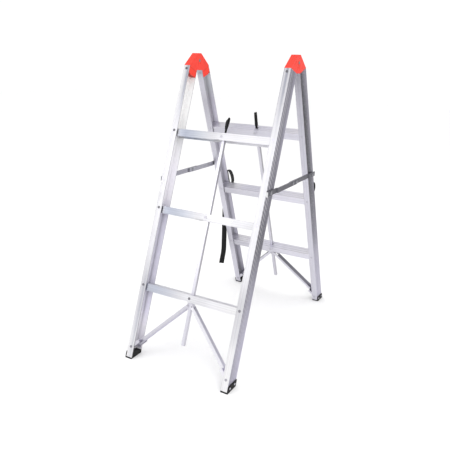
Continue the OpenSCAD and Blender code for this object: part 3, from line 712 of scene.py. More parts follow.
def moulded(name, tone, rough, edge_tone, size=1500.0, dust=None, specular=0.5):
    """Moulded plastic or rubber, lighter along its edges; tone is a colour or a paint."""
    material, tree, shader = start_material(name)
    vector = object_vector(tree)
    grain = place_group(MOULDED_GRAIN, Vector=vector, Size=size)
    marks = place_group(HANDLING_MARKS, Vector=vector)
    edge_marks = place_group(EDGE_WEAR_AND_HIGHLIGHT, Vector=vector, Reach=PLASTIC_EDGE_REACH)
    ground = tone(tree) if callable(tone) else tone
    base = darken(ground, remap(grain["Tone"], *NOISE_SPREAD, *GRAIN_TONES))
    if dust:
        base = mix_colour(times(marks["Smudge"], DUST_SHARE), base, dust)
    # Lighter edges: rubbed wear on rubber and thread, a painted highlight on the red caps
    edge_toned = mix_colour(times(edge_marks["Mask"], PLASTIC_EDGE_SHARE), base, edge_tone)
    feed(edge_toned, shader.inputs["Base Color"])
    shine = remap(grain["Height"], *NOISE_SPREAD, rough - GRAIN_BRIGHT, rough + GRAIN_DULL)
    shine = calc("ADD", shine, times(marks["Smudge"], PLASTIC_DULLED))
    feed(shine, shader.inputs["Roughness"])
    shader.inputs["Metallic"].default_value = 0.0
    shader.inputs["Specular IOR Level"].default_value = specular
    add_bump(shader, grain["Height"], strength=0.35, distance=0.00012)
    return material


# Webbing: tone left by painted shade between the yarns, light fuzz, and roughness between and
# on the yarns
YARN_GAP_SHADE = 0.35
FUZZ_SIZE, FUZZ = 420.0, (0.5, 0.8, 0.0, 0.35)
YARN_ROUGH = (0.9, 0.62)


def woven(name, tone, light):
    """Black polyester webbing, with painted shade between its yarns and light fuzz."""
    material, tree, shader = start_material(name)
    coords = add_node(tree, "ShaderNodeTexCoord").outputs
    height = place_group(WEBBING_WEAVE, UV=coords["UV"])["Height"]
    fuzz = noise(coords["Object"], FUZZ_SIZE, detail=3.0, roughness=0.6)
    # Painted shade between the yarns
    base = mix_colour(height, tuple(c * YARN_GAP_SHADE for c in tone), tone)
    dusty = mix_colour(remap(fuzz, *FUZZ), base, light)
    feed(dusty, shader.inputs["Base Color"])
    feed(remap(height, 0.0, 1.0, *YARN_ROUGH), shader.inputs["Roughness"])
    shader.inputs["Metallic"].default_value = 0.0
    shader.inputs["Sheen Weight"].default_value = 0.05
    shader.inputs["Specular IOR Level"].default_value = 0.25
    add_bump(shader, height, strength=0.7, distance=0.0004)
    return material


# Stiles: painted runs of light and shade down the stile in metres, a copy for each stile as it
# is lit
def steady(tone):
    """The same tone all the way down a stile."""
    return [(0.0, tone), (1.19, tone)]


FRONT_WEB = {
    "web_in": [
        (0.0, 0.44), (0.13, 0.42), (0.26, 0.42), (0.33, 0.38), (0.40, 0.31), (0.47, 0.27),
        (0.58, 0.22), (0.64, 0.21), (0.70, 0.235), (0.76, 0.33), (0.82, 0.40), (0.88, 0.465),
        (1.0, 0.56), (1.19, 0.61)],
    "web_middle": [
        (0.0, 0.33), (0.19, 0.31), (0.33, 0.27), (0.47, 0.25), (0.54, 0.22), (0.64, 0.19),
        (0.70, 0.225), (0.76, 0.30), (0.82, 0.38), (0.88, 0.455), (0.94, 0.50), (1.06, 0.545),
        (1.19, 0.55)],
    "web_out": [
        (0.0, 0.375), (0.13, 0.355), (0.33, 0.32), (0.40, 0.28), (0.54, 0.215), (0.64, 0.17),
        (0.70, 0.197), (0.76, 0.25), (0.82, 0.295), (0.88, 0.316), (0.94, 0.40), (1.06, 0.443),
        (1.19, 0.42)],
}
REAR_WEB = {
    "web_in": [
        (0.0, 0.133), (0.13, 0.122), (0.25, 0.095), (0.33, 0.10), (0.47, 0.12), (0.54, 0.132),
        (0.64, 0.207), (0.76, 0.30), (0.82, 0.37), (0.88, 0.47), (1.0, 0.57), (1.19, 0.63)],
    "web_middle": [
        (0.0, 0.31), (0.07, 0.30), (0.13, 0.26), (0.25, 0.195), (0.40, 0.205), (0.54, 0.175),
        (0.64, 0.262), (0.76, 0.315), (0.82, 0.375), (0.88, 0.475), (1.0, 0.56), (1.19, 0.63)],
    "web_out": [
        (0.0, 0.40), (0.13, 0.38), (0.25, 0.36), (0.33, 0.355), (0.47, 0.31), (0.54, 0.245),
        (0.64, 0.245), (0.76, 0.315), (0.82, 0.38), (0.88, 0.445), (1.0, 0.525), (1.19, 0.60)],
    "glints": steady(0.0),
}
FRONT_STILES = {
    "left": {
        "flange": [
            (0.0, 1.0), (0.13, 1.0), (0.19, 0.95), (0.33, 0.88), (0.40, 0.82), (0.58, 0.77),
            (0.70, 0.79), (0.82, 0.84), (0.88, 0.80), (0.94, 0.84), (1.0, 0.88), (1.06, 0.95),
            (1.12, 1.0), (1.19, 1.0)],
        "bands": [
            ([(0.0, 0.55), (0.1, 0.8), (0.2, 1.0), (0.32, 0.9), (0.42, 0.45), (0.6, 0.16),
              (0.8, 0.0), (1.0, 0.0)],
             [(0.0, 0.56), (0.07, 0.54), (0.13, 0.44), (0.19, 0.26), (0.25, 0.10), (0.32, 0.0),
              (1.19, 0.0)]),
            ([(0.0, 0.6), (0.08, 0.4), (0.15, 0.28), (0.22, 0.5), (0.31, 1.0), (0.40, 0.85),
              (0.5, 0.55), (0.65, 0.35), (0.8, 0.05), (1.0, 0.0)],
             [(0.0, 0.0), (0.78, 0.0), (0.84, 0.10), (0.92, 0.32), (1.0, 0.34), (1.12, 0.30),
              (1.19, 0.20)]),
        ],
        "edge": (0.0013, 0.6), "corner": 0.62,
        "evened": [
            (0.0, 0.8), (0.35, 0.8), (0.56, 0.7), (0.60, 0.45), (0.63, 0.1), (0.8, 0.0),
            (1.0, 0.0), (1.07, 0.35), (1.19, 0.35)],
        "inside": [
            (0.0, WHITE), (0.30, WHITE), (0.45, 1.0), (0.56, 1.0), (0.61, 0.93), (0.65, 0.86),
            (0.76, 0.84), (0.90, 0.86), (1.0, 0.95), (1.07, 1.0), (1.19, 1.0)],
        "glints": steady(0.0),
    },
    "right": {
        "flange": [
            (0.0, 0.84), (0.07, 0.86), (0.13, 0.90), (0.25, 0.97), (0.33, 0.96), (0.40, 0.88),
            (0.54, 0.845), (0.64, 0.885), (0.76, 0.93), (0.82, 0.86), (0.88, 0.79), (0.94, 0.82),
            (1.0, 0.88), (1.06, 1.0), (1.19, 1.0)],
        "bands": [
            ([(0.0, 0.75), (0.08, 0.6), (0.17, 0.12), (0.33, 0.3), (0.44, 0.95), (0.62, 1.0),
              (0.72, 0.5), (0.82, 0.0), (1.0, 0.0)],
             [(0.0, 0.44), (0.07, 0.42), (0.13, 0.37), (0.19, 0.22), (0.25, 0.10), (0.32, 0.02),
              (0.80, 0.0), (0.90, 0.06), (1.0, 0.05), (1.06, 0.0), (1.19, 0.0)]),
        ],
        "edge": (0.0004, 0.4), "corner": 0.60,
        "evened": steady(0.0), "inside": steady(0.92),
        "glints": [
            (0.0, 0.20), (0.12, 0.42), (0.30, 0.66), (0.55, 0.52), (0.75, 0.30), (1.0, 0.18),
            (1.19, 0.0)],
    },
}
REAR_STILES = {
    "left": {
        "flange": [
            (0.0, 0.42), (0.055, 0.50), (0.074, 0.61), (0.10, 0.64), (0.125, 0.62), (0.178, 0.535),
            (0.23, 0.56), (0.30, 0.61), (0.38, 0.64), (0.43, 0.70), (0.485, 0.655), (0.60, 0.665),
            (0.70, 0.72), (0.76, 0.66), (0.97, 0.70), (1.19, 0.765)],
        "inside": [
            (0.0, (0.70, 0.74, 0.79)), (0.085, (0.80, 0.84, 0.89)), (0.137, (0.73, 0.745, 0.79)),
            (0.19, 0.80), (0.25, 0.90), (0.40, 0.95), (0.60, 0.80), (1.19, 0.78)],
    },
    "right": {
        "flange": [
            (0.0, 0.36), (0.07, 0.42), (0.13, 0.59), (0.19, 0.64), (0.25, 0.675), (0.33, 0.705),
            (0.40, 0.715), (0.70, 0.725), (1.0, 0.74), (1.19, 0.765)],
        "inside": [
            (0.0, 0.66), (0.12, 0.64), (0.22, 0.90), (0.40, 0.95), (0.60, 0.80), (1.19, 0.78)],
    },
}
REAR_BANDS = [
    ([(0.0, 0.9), (0.08, 0.4), (0.2, 0.0), (0.45, 0.0), (0.55, 0.6), (0.65, 0.6), (0.75, 0.0),
      (1.0, 0.0)],
     [(0.0, 0.12), (0.6, 0.08), (1.19, 0.05)]),
]
REAR_EVENED = [
    (0.0, 0.4), (0.1, 0.25), (0.2, 0.0), (0.4, 0.0), (0.55, 0.2), (0.8, 0.1), (1.19, 0.1)]
STILE_ROUGH = 0.36
STILE_FRONT = {
    side: drawn_aluminium("stile_metal_front_" + side, FRONT_TURN, partial(
        paint_stile, rear=False, web_inside=1.0, **runs, **FRONT_WEB), STILE_ROUGH)
    for side, runs in FRONT_STILES.items()
}
STILE_REAR = {
    side: drawn_aluminium("stile_metal_rear_" + side, REAR_TURN, partial(
        paint_stile, rear=True, bands=REAR_BANDS, edge=(0.0005, 0.5), corner=0.56, web_inside=0.70,
        evened=REAR_EVENED, **runs, **REAR_WEB), STILE_ROUGH)
    for side, runs in REAR_STILES.items()
}

# Rungs: painted reflections on face and tread run from the left end to the right end in metres,
# a copy for each front rung as it is lit
FRONT_RUNGS = {
    "top": {
        "face": [
            (-0.20, 0.64), (-0.185, (0.57, 0.60, 0.69)), (-0.16, (0.475, 0.505, 0.60)),
            (-0.13, (0.535, 0.565, 0.65)), (-0.10, (0.62, 0.645, 0.71)), (-0.04, 0.74),
            (-0.015, 0.83), (0.04, 0.90), (0.10, 0.95), (0.20, 0.98)],
        "tread": [
            (-0.20, 0.80), (-0.10, 0.83), (-0.04, 0.74), (0.0, 0.90), (0.10, 0.94), (0.20, 0.94)],
    },
    "mid": {
        "face": [
            (-0.20, 0.53), (-0.185, (0.475, 0.50, 0.58)), (-0.16, (0.445, 0.47, 0.55)),
            (-0.13, (0.46, 0.485, 0.555)), (-0.10, (0.49, 0.51, 0.575)), (-0.04, 0.59),
            (-0.015, 0.64), (0.04, 0.685), (0.10, 0.72), (0.20, 0.78)],
        "tread": [(-0.20, 0.42), (-0.10, 0.43), (0.0, 0.45), (0.20, 0.53)],
    },
    "low": {
        "face": [
            (-0.20, (0.60, 0.62, 0.70)), (-0.16, (0.60, 0.63, 0.73)), (-0.10, (0.685, 0.70, 0.78)),
            (-0.04, 0.86), (-0.015, 0.93), (0.015, 0.89), (0.04, 0.865), (0.07, 0.90), (0.10, 0.98),
            (0.20, 1.0)],
        "tread": [(-0.20, 0.98), (-0.10, 0.88), (0.0, 0.89), (0.20, 0.92)],
    },
}
REAR_RUNG = {
    "face": [(-0.20, 0.60), (-0.10, 0.67), (0.0, 0.73), (0.10, 0.81), (0.20, 0.83)],
    "tread": [(-0.20, 1.0), (-0.14, 1.0), (-0.10, 0.94), (0.0, 0.95), (0.20, 1.0)],
}
RUNG_LINES = 1100.0
RUNG_FRONT = {
    level: drawn_aluminium("rung_metal_front_" + level, RUNG_TURN,
                           partial(paint_rung, rear=False, **runs), lines=RUNG_LINES)
    for level, runs in FRONT_RUNGS.items()
}
RUNG_REAR = drawn_aluminium("rung_metal_rear", RUNG_TURN,
                            partial(paint_rung, rear=True, **REAR_RUNG), lines=RUNG_LINES)

# Painted light and shade of rods by height and of braces down the leg, in metres; a copy for
# each brace and rod as it is lit
ROD_FRONT = drawn_aluminium("rod_metal_front", FRONT_TURN, partial(
    paint_rod,
    front=[(0.0, 0.84), (0.25, 0.84), (0.40, 0.96), (1.1, 0.96)],
    side=[(0.0, 0.66), (0.25, 0.62), (0.35, 0.42), (1.1, 0.42)]))
ROD_REAR = drawn_aluminium("rod_metal_rear", REAR_TURN, partial(
    paint_rod,
    front=[(0.0, 0.70), (1.1, 0.70)],
    side=[(0.0, 0.58), (0.25, 0.58), (0.35, 0.42), (1.1, 0.42)]))
BRACE_TONES = {
    "left": {"face": 0.76, "inside": 0.86, "web": [(0.9, 0.70), (1.19, 0.70)]},
    "right": {"face": 0.98, "inside": 0.60,
              "web": [(0.9, 0.60), (1.08, 0.62), (1.14, 0.85), (1.19, 0.85)]},
    "rear": {"face": 0.76, "inside": 0.50,
             "web": [(0.9, 0.235), (0.98, 0.25), (1.06, 0.30), (1.12, 0.42), (1.15, 0.60),
                     (1.19, 0.60)]},
}
BRACES = {
    place: drawn_aluminium("brace_metal_" + place, BRACE_TURN,
                           partial(paint_brace, rear=place == "rear", **tones), lines=700.0)
    for place, tones in BRACE_TONES.items()
}

# Spreaders and fasteners: tone, painted with light and shade on spreaders, rivets, pins and
# stud, cloudiness of the coat, and tone of worn edges
# Painted highlight on the front tab of each spreader, and the depth where it starts
SPREADER_TAB_HIGHLIGHTS = {
    "left": {"tab": (0.97, 0.97, 0.98), "tab_from": 0.205},
    "right": {"tab": (0.85, 0.85, 0.86), "tab_from": 0.226},
}
SPREADERS = {
    side: plated_steel("spreader_steel_" + side, partial(paint_spreader, **tab), 0.35,
                       (0.36, 0.36, 0.37), rough=0.42)
    for side, tab in SPREADER_TAB_HIGHLIGHTS.items()
}
# Rivet tones by height are painted light and shade, a copy for each leg as it is lit
RIVET_TONES = {
    "left": ([(0.0, 0.75), (0.018, 0.75), (0.021, 0.34), (0.20, 0.30), (0.5, 0.20), (1.1, 0.20)],
             0.4, (0.42, 0.42, 0.43)),
    "right": ([(0.0, 0.75), (0.018, 0.75), (0.021, 0.50), (0.20, 0.46), (0.25, 0.30), (0.34, 0.34),
               (0.45, 0.95), (0.95, 0.95), (1.0, 0.20), (1.1, 0.20)], 0.15, (0.90, 0.90, 0.91)),
    "rear": ([(0.0, 0.75), (0.018, 0.75), (0.021, 0.60), (0.9, 0.58), (1.0, 0.42), (1.1, 0.42)],
             0.25, (0.62, 0.62, 0.63)),
}
RIVETS = {
    place: plated_steel("rivet_steel_" + place, partial(paint_by_height, stops=run), cloudiness,
                        worn_tone)
    for place, (run, cloudiness, worn_tone) in RIVET_TONES.items()
}
MIDDLE_PINS = plated_steel("middle_pin_steel", partial(
    paint_by_height, stops=[(0.0, 0.26), (0.35, 0.26), (0.45, 0.70), (1.1, 0.72)]), 0.2,
    (0.70, 0.70, 0.71))
# Brace rivets painted pale and the left spreader's front stud near white, as painted highlights
BRACE_RIVET_HIGHLIGHT_STEEL = plated_steel("brace_rivet_highlight_steel", tinted(0.62), 0.25, (0.66, 0.66, 0.67))
STUD_HIGHLIGHT_STEEL = plated_steel("left_stud_highlight_steel", tinted(0.95), 0.1, (0.95, 0.95, 0.95))
KNEE_STEEL = plated_steel("spreader_rivet_steel", (0.30, 0.30, 0.33), 0.3, (0.38, 0.38, 0.40))
PIN_STEEL = plated_steel("hinge_pin_steel", (0.30, 0.28, 0.28), 0.4, (0.45, 0.44, 0.44))

# Plastic, rubber and webbing
# The caps' lighter red edge tone is a painted highlight
CAP_PLASTIC = {
    rear: moulded("cap_plastic_" + side, partial(paint_cap, rear=rear), 0.45, (0.90, 0.075, 0.045),
                  specular=0.3)
    for rear, side in ((False, "front"), (True, "rear"))
}
FOOT_RUBBER = moulded("foot_rubber", (0.008, 0.008, 0.009), 0.62, (0.035, 0.035, 0.036),
                      size=900.0, dust=(0.022, 0.021, 0.021), specular=0.25)
WEBBING = woven("webbing", (0.009, 0.009, 0.010), (0.020, 0.020, 0.020))
STITCHING = moulded("stitching_thread", (0.035, 0.035, 0.037), 0.6, (0.06, 0.06, 0.06), size=2500.0)


def dress_node(name):
    """The finish of a CAD node, by the first of these words that its name holds."""
    rear = name.startswith("rear")
    side = "left" if "left" in name else "right"
    place = "rear" if rear else side
    rod = ROD_REAR if rear else ROD_FRONT
    finishes = {
        "foot": FOOT_RUBBER,
        "hinge_half": CAP_PLASTIC[rear],
        "hinge_pin": PIN_STEEL,
        "brace_rivets": BRACE_RIVET_HIGHLIGHT_STEEL,
        "knee_rivets": KNEE_STEEL,
        "left_spreader_front_rivet": STUD_HIGHLIGHT_STEEL,
        "spreader": KNEE_STEEL if "rivet" in name else SPREADERS[side],
        "pins": RIVETS["rear"] if rear else MIDDLE_PINS,
        "rivets": RIVETS[place],
        "rung": RUNG_REAR if rear else RUNG_FRONT.get(name.rsplit("_", 1)[1]),
        "brace": BRACES[place],
        "rod": rod,
        "slider": rod,
        "": (STILE_REAR if rear else STILE_FRONT)[side],
    }
    return next(finish for word, finish in finishes.items() if word in name)


for node_name, node_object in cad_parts.items():
    node_object.data.materials.clear()
    node_object.data.materials.append(dress_node(node_name))


# Edges of moulded pieces: corners joined within a gap in metres, and the angle of a sharp edge
CORNER_GAP = 0.00001
SHARP_ANGLE = math.radians(32.0)


def soften_edges(node_object, width, segments):
    """Rounds a moulded node's sharp edges without touching its mesh."""
    weld = node_object.modifiers.new("join_corners", "WELD")
    weld.merge_threshold = CORNER_GAP
    bevel = node_object.modifiers.new("round_edges", "BEVEL")
    bevel.width = width
    bevel.segments = segments
    bevel.limit_method = "ANGLE"
    bevel.angle_limit = SHARP_ANGLE
    bevel.harden_normals = True


for leg_name in ("front_left", "front_right", "rear_left", "rear_right"):
    soften_edges(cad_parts[leg_name + "_hinge_half"], width=0.0012, segments=3)
    soften_edges(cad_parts[leg_name + "_foot"], width=0.0008, segments=2)


# Webbing strips
def smooth_line(points, steps):
    """Points on a smooth line through the given points."""
    line = []
    last = len(points) - 1
    for index in range(last):
        near = [points[min(max(index + shift, 0), last)] for shift in (-1, 0, 1, 2)]
        for step in range(steps):
            t = step / steps
            line.append([
                0.5 * (2 * b + (c - a) * t + (2 * a - 5 * b + 4 * c - d) * t * t
                       + (3 * b - a - 3 * c + d) * t ** 3)
                for a, b, c, d in zip(*near)
            ])
    line.append(list(points[-1]))
    return line


def skin_rings(shell, rings, closed=False):
    """Smooth faces from ring to ring, with flat ends on an open run.

    Each face comes with its place along the run and its two places round the ring.
    """
    count, sides = len(rings), len(rings[0])
    skin = []
    for index in range(count if closed else count - 1):
        near, far = rings[index], rings[(index + 1) % count]
        for side in range(sides):
            other = (side + 1) % sides
            face = shell.faces.new((near[side], near[other], far[other], far[side]))
            face.smooth = True
            skin.append((face, index, side, other))
    if not closed:
        shell.faces.new(list(reversed(rings[0])))
        shell.faces.new(rings[-1])
    return skin


def webbing_piece(name, shell, material):
    """A piece made from a finished shell."""
    bmesh.ops.recalc_face_normals(shell, faces=shell.faces)
    mesh = bpy.data.meshes.new(name)
    shell.to_mesh(mesh)
    shell.free()
    mesh.materials.append(material)
    made = link(bpy.data.objects.new(name, mesh))
    return made


# Section of webbing, in shares of its width and its thickness
STRIP_SECTION = [
    (-0.5, 0.22), (-0.46, 0.46), (-0.3, 0.5), (0.0, 0.5), (0.3, 0.5), (0.46, 0.46), (0.5, 0.22),
    (0.5, -0.22), (0.46, -0.46), (0.3, -0.5), (0.0, -0.5), (-0.3, -0.5), (-0.46, -0.46),
    (-0.5, -0.22),
]


def webbing_strip(name, line, across, widths=None, thickness=WEB_THICK, closed=False):
    """A strip of webbing along a line, and its length.

    Across is the direction of its width, one for all points or one for each.
    """
    if isinstance(across, Vector):
        across = [across] * len(line)
    widths = widths or [WEB_WIDTH] * len(line)
    shell = bmesh.new()
    uv_layer = shell.loops.layers.uv.new("strip")
    count = len(line)
    lengths = [0.0]
    for index in range(1, count + (1 if closed else 0)):
        lengths.append(lengths[-1] + (line[index % count] - line[index - 1]).length)
    rings = []
    for index, point in enumerate(line):
        ahead = line[(index + 1) % count] if closed else line[min(index + 1, count - 1)]
        behind = line[index - 1] if closed else line[max(index - 1, 0)]
        run = (ahead - behind).normalized()
        width_way = (across[index] - across[index].dot(run) * run).normalized()
        thick_way = run.cross(width_way).normalized()
        rings.append([
            shell.verts.new(point + width_way * (u * widths[index]) + thick_way * (v * thickness))
            for u, v in STRIP_SECTION
        ])
    for face, index, side, other in skin_rings(shell, rings, closed):
        u_side, u_other = (STRIP_SECTION[i][0] * widths[index] for i in (side, other))
        start, end = lengths[index], lengths[index + 1]
        corners = ((u_side, start), (u_other, start), (u_other, end), (u_side, end))
        for loop, corner in zip(face.loops, corners):
            loop[uv_layer].uv = corner
    return webbing_piece(name, shell, WEBBING), lengths[-1]


# Stitches: thread radius and lift in metres, and swell of a stitch at places along it
THREAD_RADIUS, THREAD_LIFT, STITCH_FILL = 0.00032, 0.0001, 0.78
STITCH_SWELL = ((-0.5, 0.35), (-0.3, 0.9), (0.0, 1.0), (0.3, 0.9), (0.5, 0.35))
THREAD_SECTION = [
    (math.cos(a * math.pi / 3.0) * THREAD_RADIUS, math.sin(a * math.pi / 3.0) * THREAD_RADIUS)
    for a in range(6)
]


def stitch_rows(name, origin, along, across, out, rows, row_gap, stitches, pitch):
    """Rows of raised stitches on a strap's face."""
    shell = bmesh.new()
    for row in range(rows):
        row_middle = origin + across * ((row - (rows - 1) / 2) * row_gap)
        for index in range(stitches):
            centre = row_middle + along * ((index - (stitches - 1) / 2) * pitch)
            rings = []
            for step, swell in STITCH_SWELL:
                middle = centre + along * (step * pitch * STITCH_FILL)
                rings.append([
                    shell.verts.new(middle + across * (u * swell) + out * (v * swell + THREAD_LIFT))
                    for u, v in THREAD_SECTION
                ])
            skin_rings(shell, rings)
    return webbing_piece(name, shell, STITCHING)


# Hanging tail of the bundle strap: x, y and z from its start in millimetres, and turn in degrees
STRAP_DOWN = MIDDLE_RUNG - 0.034
TAIL_START = leg_point(True, -HALF_WIDTH, LEG_OUT, STRAP_DOWN)
TAIL_ROUTE = [
    (-3.5, 1.5, 10, 90), (-3.6, 8, -14, 90), (-5.5, 20, -40, 80), (-8, 29, -75, 66),
    (-10, 35, -115, 58), (-10, 37.5, -160, 54), (-10, 37.5, -210, 51), (-10, 37.5, -250, 48),
    (-9.9, 37.5, -290, 45), (-10.1, 37.5, -335, 42), (-10.3, 37.5, -362, 40),
    (-10.6, 37.2, -374, 40), (-12.5, 36.3, -398, 40), (-16.5, 35.3, -424, 40),
    (-20.5, 34.3, -452, 40),
]


def level_way(degrees):
    """A level direction at an angle from X."""
    angle = math.radians(degrees)
    return Vector((math.cos(angle), math.sin(angle), 0.0))


def make_tail():
    fine = smooth_line(TAIL_ROUTE, steps=6)
    line = [TAIL_START + Vector(p[:3]) * MILLIMETRE for p in fine]
    across = [level_way(p[3]) for p in fine]
    tail, length = webbing_strip("bundle_strap_tail", line, across)
    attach(tail, "rear_left_leg")
    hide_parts("left_strap_tail")


make_tail()

# Left loop of the bundle strap: its path as shares of its width and of half its length
LEFT_LOOP_SHAPE = [
    (0.14, -0.8), (0.16, -0.9), (0.29, -0.98), (0.48, -1.0), (0.69, -0.92), (0.86, -0.7),
    (0.965, -0.36), (1.0, 0.0), (0.95, 0.36), (0.79, 0.68), (0.55, 0.9), (0.31, 0.98),
    (0.14, 0.92), (0.05, 0.72), (0.04, 0.3), (0.04, -0.2), (0.04, -0.78),
]
LEFT_LOOP_BOW, LEFT_LOOP_INSET, LEFT_LOOP_HALF = 0.028, 0.0145, 0.040
LEFT_LOOP_GAP, LEFT_LOOP_TURN = 0.0003, 88.0
LOOP_SHIFT = 0.008
BAND_LIFT, BAND_OVERHANG, BAND_STEPS = 0.0012, 0.0024, 12
STITCH_INSET, STITCH_LIFT = 0.012, 0.0023


def make_left_loop():
    """A loop of webbing behind the left stile, its width level, and its sewn band."""
    x_way, outward, upward = leg_axes(True)
    clear = Vector((0.0, WEB_WIDTH / 2 + RIVET_HEAD + LEFT_LOOP_GAP, 0.0))
    line = []
    for across_share, down_share in smooth_line(LEFT_LOOP_SHAPE, steps=4):
        x = across_share * LEFT_LOOP_BOW - LEFT_LOOP_INSET - FREE_EDGE
        down = STRAP_DOWN + LOOP_SHIFT + down_share * LEFT_LOOP_HALF
        line.append(leg_point(True, x, LEG_OUT, down) + clear)
    loop, _ = webbing_strip("bundle_strap_left_loop", line, level_way(LEFT_LOOP_TURN))
    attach(loop, "rear_left_leg")
    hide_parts("left_strap_loop")
    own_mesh(loop)
    start = leg_point(True, -FREE_EDGE, LEG_OUT + BAND_LIFT, STRAP_DOWN)
    finish = leg_point(True, -HALF_WIDTH - BAND_OVERHANG, LEG_OUT + BAND_LIFT, STRAP_DOWN)
    line = [start.lerp(finish, i / BAND_STEPS) for i in range(BAND_STEPS + 1)]
    band, _ = webbing_strip("bundle_strap_band", line, upward)
    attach(band, "rear_left_leg")
    middle = leg_point(True, -HALF_WIDTH + STITCH_INSET, LEG_OUT + STITCH_LIFT, STRAP_DOWN)
    stitches = stitch_rows("bundle_strap_stitches", middle, x_way, upward, outward,
                           rows=5, row_gap=0.0042, stitches=7, pitch=0.0026)
    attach(stitches, "rear_left_leg")


make_left_loop()

# Right loop of the bundle strap
RIGHT_LOOP_LENGTH, RIGHT_LOOP_BOW, RIGHT_LOOP_FULLNESS = 0.044, 0.017, 0.92
RIGHT_LOOP_INSET, RIGHT_LOOP_GAP = 0.025, 0.0002
BOW_STEPS, FLAT_STEPS = 30, 10


def bow_line(length, bow):
    """A closed half-round outline: a flat side along the first axis and a bow along the second."""
    inset = WEB_THICK / 2
    half = length / 2 - inset
    rise = bow - 2 * inset
    points = []
    for index in range(BOW_STEPS + 1):
        angle = math.pi * index / BOW_STEPS
        height = max(math.sin(angle), 0.0) ** RIGHT_LOOP_FULLNESS
        points.append((half * math.cos(angle), inset + rise * height))
    for index in range(1, FLAT_STEPS):
        points.append((-half + 2 * half * index / FLAT_STEPS, inset))
    return points


def make_right_loop():
    """A loop of webbing that bows out behind the right stile."""
    x_way, outward, upward = leg_axes(True)
    centre = leg_point(True, HALF_WIDTH - RIGHT_LOOP_INSET + WEB_WIDTH / 2,
                       LEG_OUT + RIGHT_LOOP_GAP, STRAP_DOWN - LOOP_SHIFT)
    bow = bow_line(RIGHT_LOOP_LENGTH, RIGHT_LOOP_BOW)
    line = [centre + upward * s + outward * out for s, out in bow]
    loop, _ = webbing_strip("bundle_strap_right_loop", line, x_way, closed=True)
    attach(loop, "rear_right_leg")
    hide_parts("right_strap_loop")


make_right_loop()

# Pull loops, from the slot up: half bow and height, then the form of each in metres and shares
LOOP_BOWS = [(0.0012, 0.0), (0.0012, 0.006), (0.0014, 0.016), (0.0022, 0.028), (0.0032, 0.038),
             (0.0036, 0.048), (0.0031, 0.055), (0.0019, 0.0595)]
LOOP_TOP = 0.0615
LOOP_STEM_WIDTH = 0.0088
LOOP_THICK = 0.0018
LOOP_TURN = math.radians(32.0)
FRONT_LOOP = {"flare": (0.014, 0.034), "foot_width": 0.016, "top_width": 0.016,
              "slant": 0.75, "lean": 0.0012, "rise": 1.0}
REAR_LOOP = {"flare": (0.008, 0.014), "foot_width": 0.0135, "top_width": 0.0112,
             "slant": 0.12, "lean": 0.0036, "rise": 1.15}


def make_pull_loop(rear):
    """A doubled webbing loop through the slot over the rod, gathered at its stem."""
    form = REAR_LOOP if rear else FRONT_LOOP
    low, high = form["flare"]
    x_way, outward, upward = leg_axes(rear)
    width_way = math.cos(LOOP_TURN) * x_way + math.sin(LOOP_TURN) * outward
    bow_way = upward.cross(width_way).normalized()
    base = leg_point(rear, 0.0, LEG_MID, TOP_RUNG + MIDDLE_DROP - EAR_RADIUS)
    outline = LOOP_BOWS + [(0.0, LOOP_TOP)] + [(-bow, rise) for bow, rise in reversed(LOOP_BOWS)]
    line, across, widths = [], [], []
    for bow, rise in smooth_line(outline, steps=4):
        share = min(max((rise - low) / (high - low), 0.0), 1.0)
        share = share * share * (3.0 - 2.0 * share)
        climb = rise / LOOP_TOP
        wide = form["foot_width"] + (form["top_width"] - form["foot_width"]) * climb
        lean = width_way * (form["lean"] * share * climb)
        widths.append(LOOP_STEM_WIDTH + (wide - LOOP_STEM_WIDTH) * share)
        line.append(base + upward * (rise * form["rise"]) + bow_way * bow + lean)
        across.append((width_way + upward * (form["slant"] * share)).normalized())
    side_name = "rear" if rear else "front"
    loop, _ = webbing_strip(side_name + "_pull_loop_webbing", line, across, widths, LOOP_THICK)
    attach(loop, side_name + "_middle_rod")
    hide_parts(side_name + "_pull_loop")
    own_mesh(loop)


make_pull_loop(False)
make_pull_loop(True)

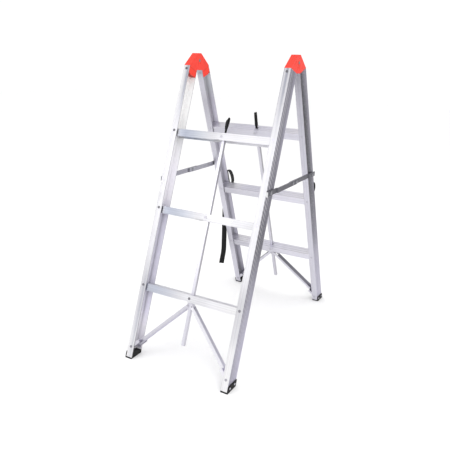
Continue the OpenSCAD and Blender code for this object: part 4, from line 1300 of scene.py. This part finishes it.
# Studio: a pale floor and soft light; a lamp has its place, target, size and energy
FLOOR_REACH, FLOOR_GAP = 14.0, 0.0005
LAMPS = {
    "key_lamp": ((-1.75, -2.75, 1.75), (0.0, -0.25, 0.6), (1.0, 0.7), 7.0),
    "fill_lamp": ((1.7, -2.3, 1.7), (0.0, -0.25, 0.6), (1.4, 1.4), 18.0),
    "top_lamp": ((0.3, -0.4, 3.2), (0.0, 0.0, 0.0), (2.4, 2.4), 12.0),
}


def place_floor():
    mesh = bpy.data.meshes.new("floor")
    sides = ((-1, -1), (1, -1), (1, 1), (-1, 1))
    mesh.from_pydata([(x * FLOOR_REACH, y * FLOOR_REACH, 0) for x, y in sides], [], [(0, 1, 2, 3)])
    floor = link(bpy.data.objects.new("floor", mesh))
    floor.location.z = -FLOOR_GAP
    material, _, shader = start_material("floor_paper")
    shader.inputs["Base Color"].default_value = (0.98, 0.98, 0.98, 1.0)
    shader.inputs["Roughness"].default_value = 0.9
    mesh.materials.append(material)


def place_lamp(name, location, target, size, energy):
    data = bpy.data.lights.new(name, "AREA")
    data.shape = "RECTANGLE"
    data.size, data.size_y = size
    data.energy = energy
    lamp = link(bpy.data.objects.new(name, data))
    lamp.location = location
    aim = Vector(target) - Vector(location)
    lamp.rotation_euler = aim.to_track_quat("-Z", "Y").to_euler()


def light_world(ambient, mirrored):
    """White behind the ladder, with its own strengths for soft light and for reflections."""
    world = bpy.data.worlds.new("studio")
    bpy.context.scene.world = world
    world.use_nodes = True
    tree = world.node_tree
    tree.nodes.clear()
    path = tree.nodes.new("ShaderNodeLightPath").outputs
    strength = remap(path["Is Glossy Ray"], 0.0, 1.0, ambient, mirrored)
    seen = calc("MAXIMUM", path["Is Camera Ray"], path["Is Transmission Ray"])
    background = tree.nodes.new("ShaderNodeBackground")
    feed(WHITE, background.inputs["Color"])
    feed(calc("MAXIMUM", strength, seen), background.inputs["Strength"])
    output = tree.nodes.new("ShaderNodeOutputWorld")
    feed(background.outputs[0], output.inputs["Surface"])


place_floor()
light_world(ambient=1.045, mirrored=0.80)
for lamp_name, lamp_form in LAMPS.items():
    place_lamp(lamp_name, *lamp_form)
bpy.context.scene.view_settings.view_transform = "Standard"
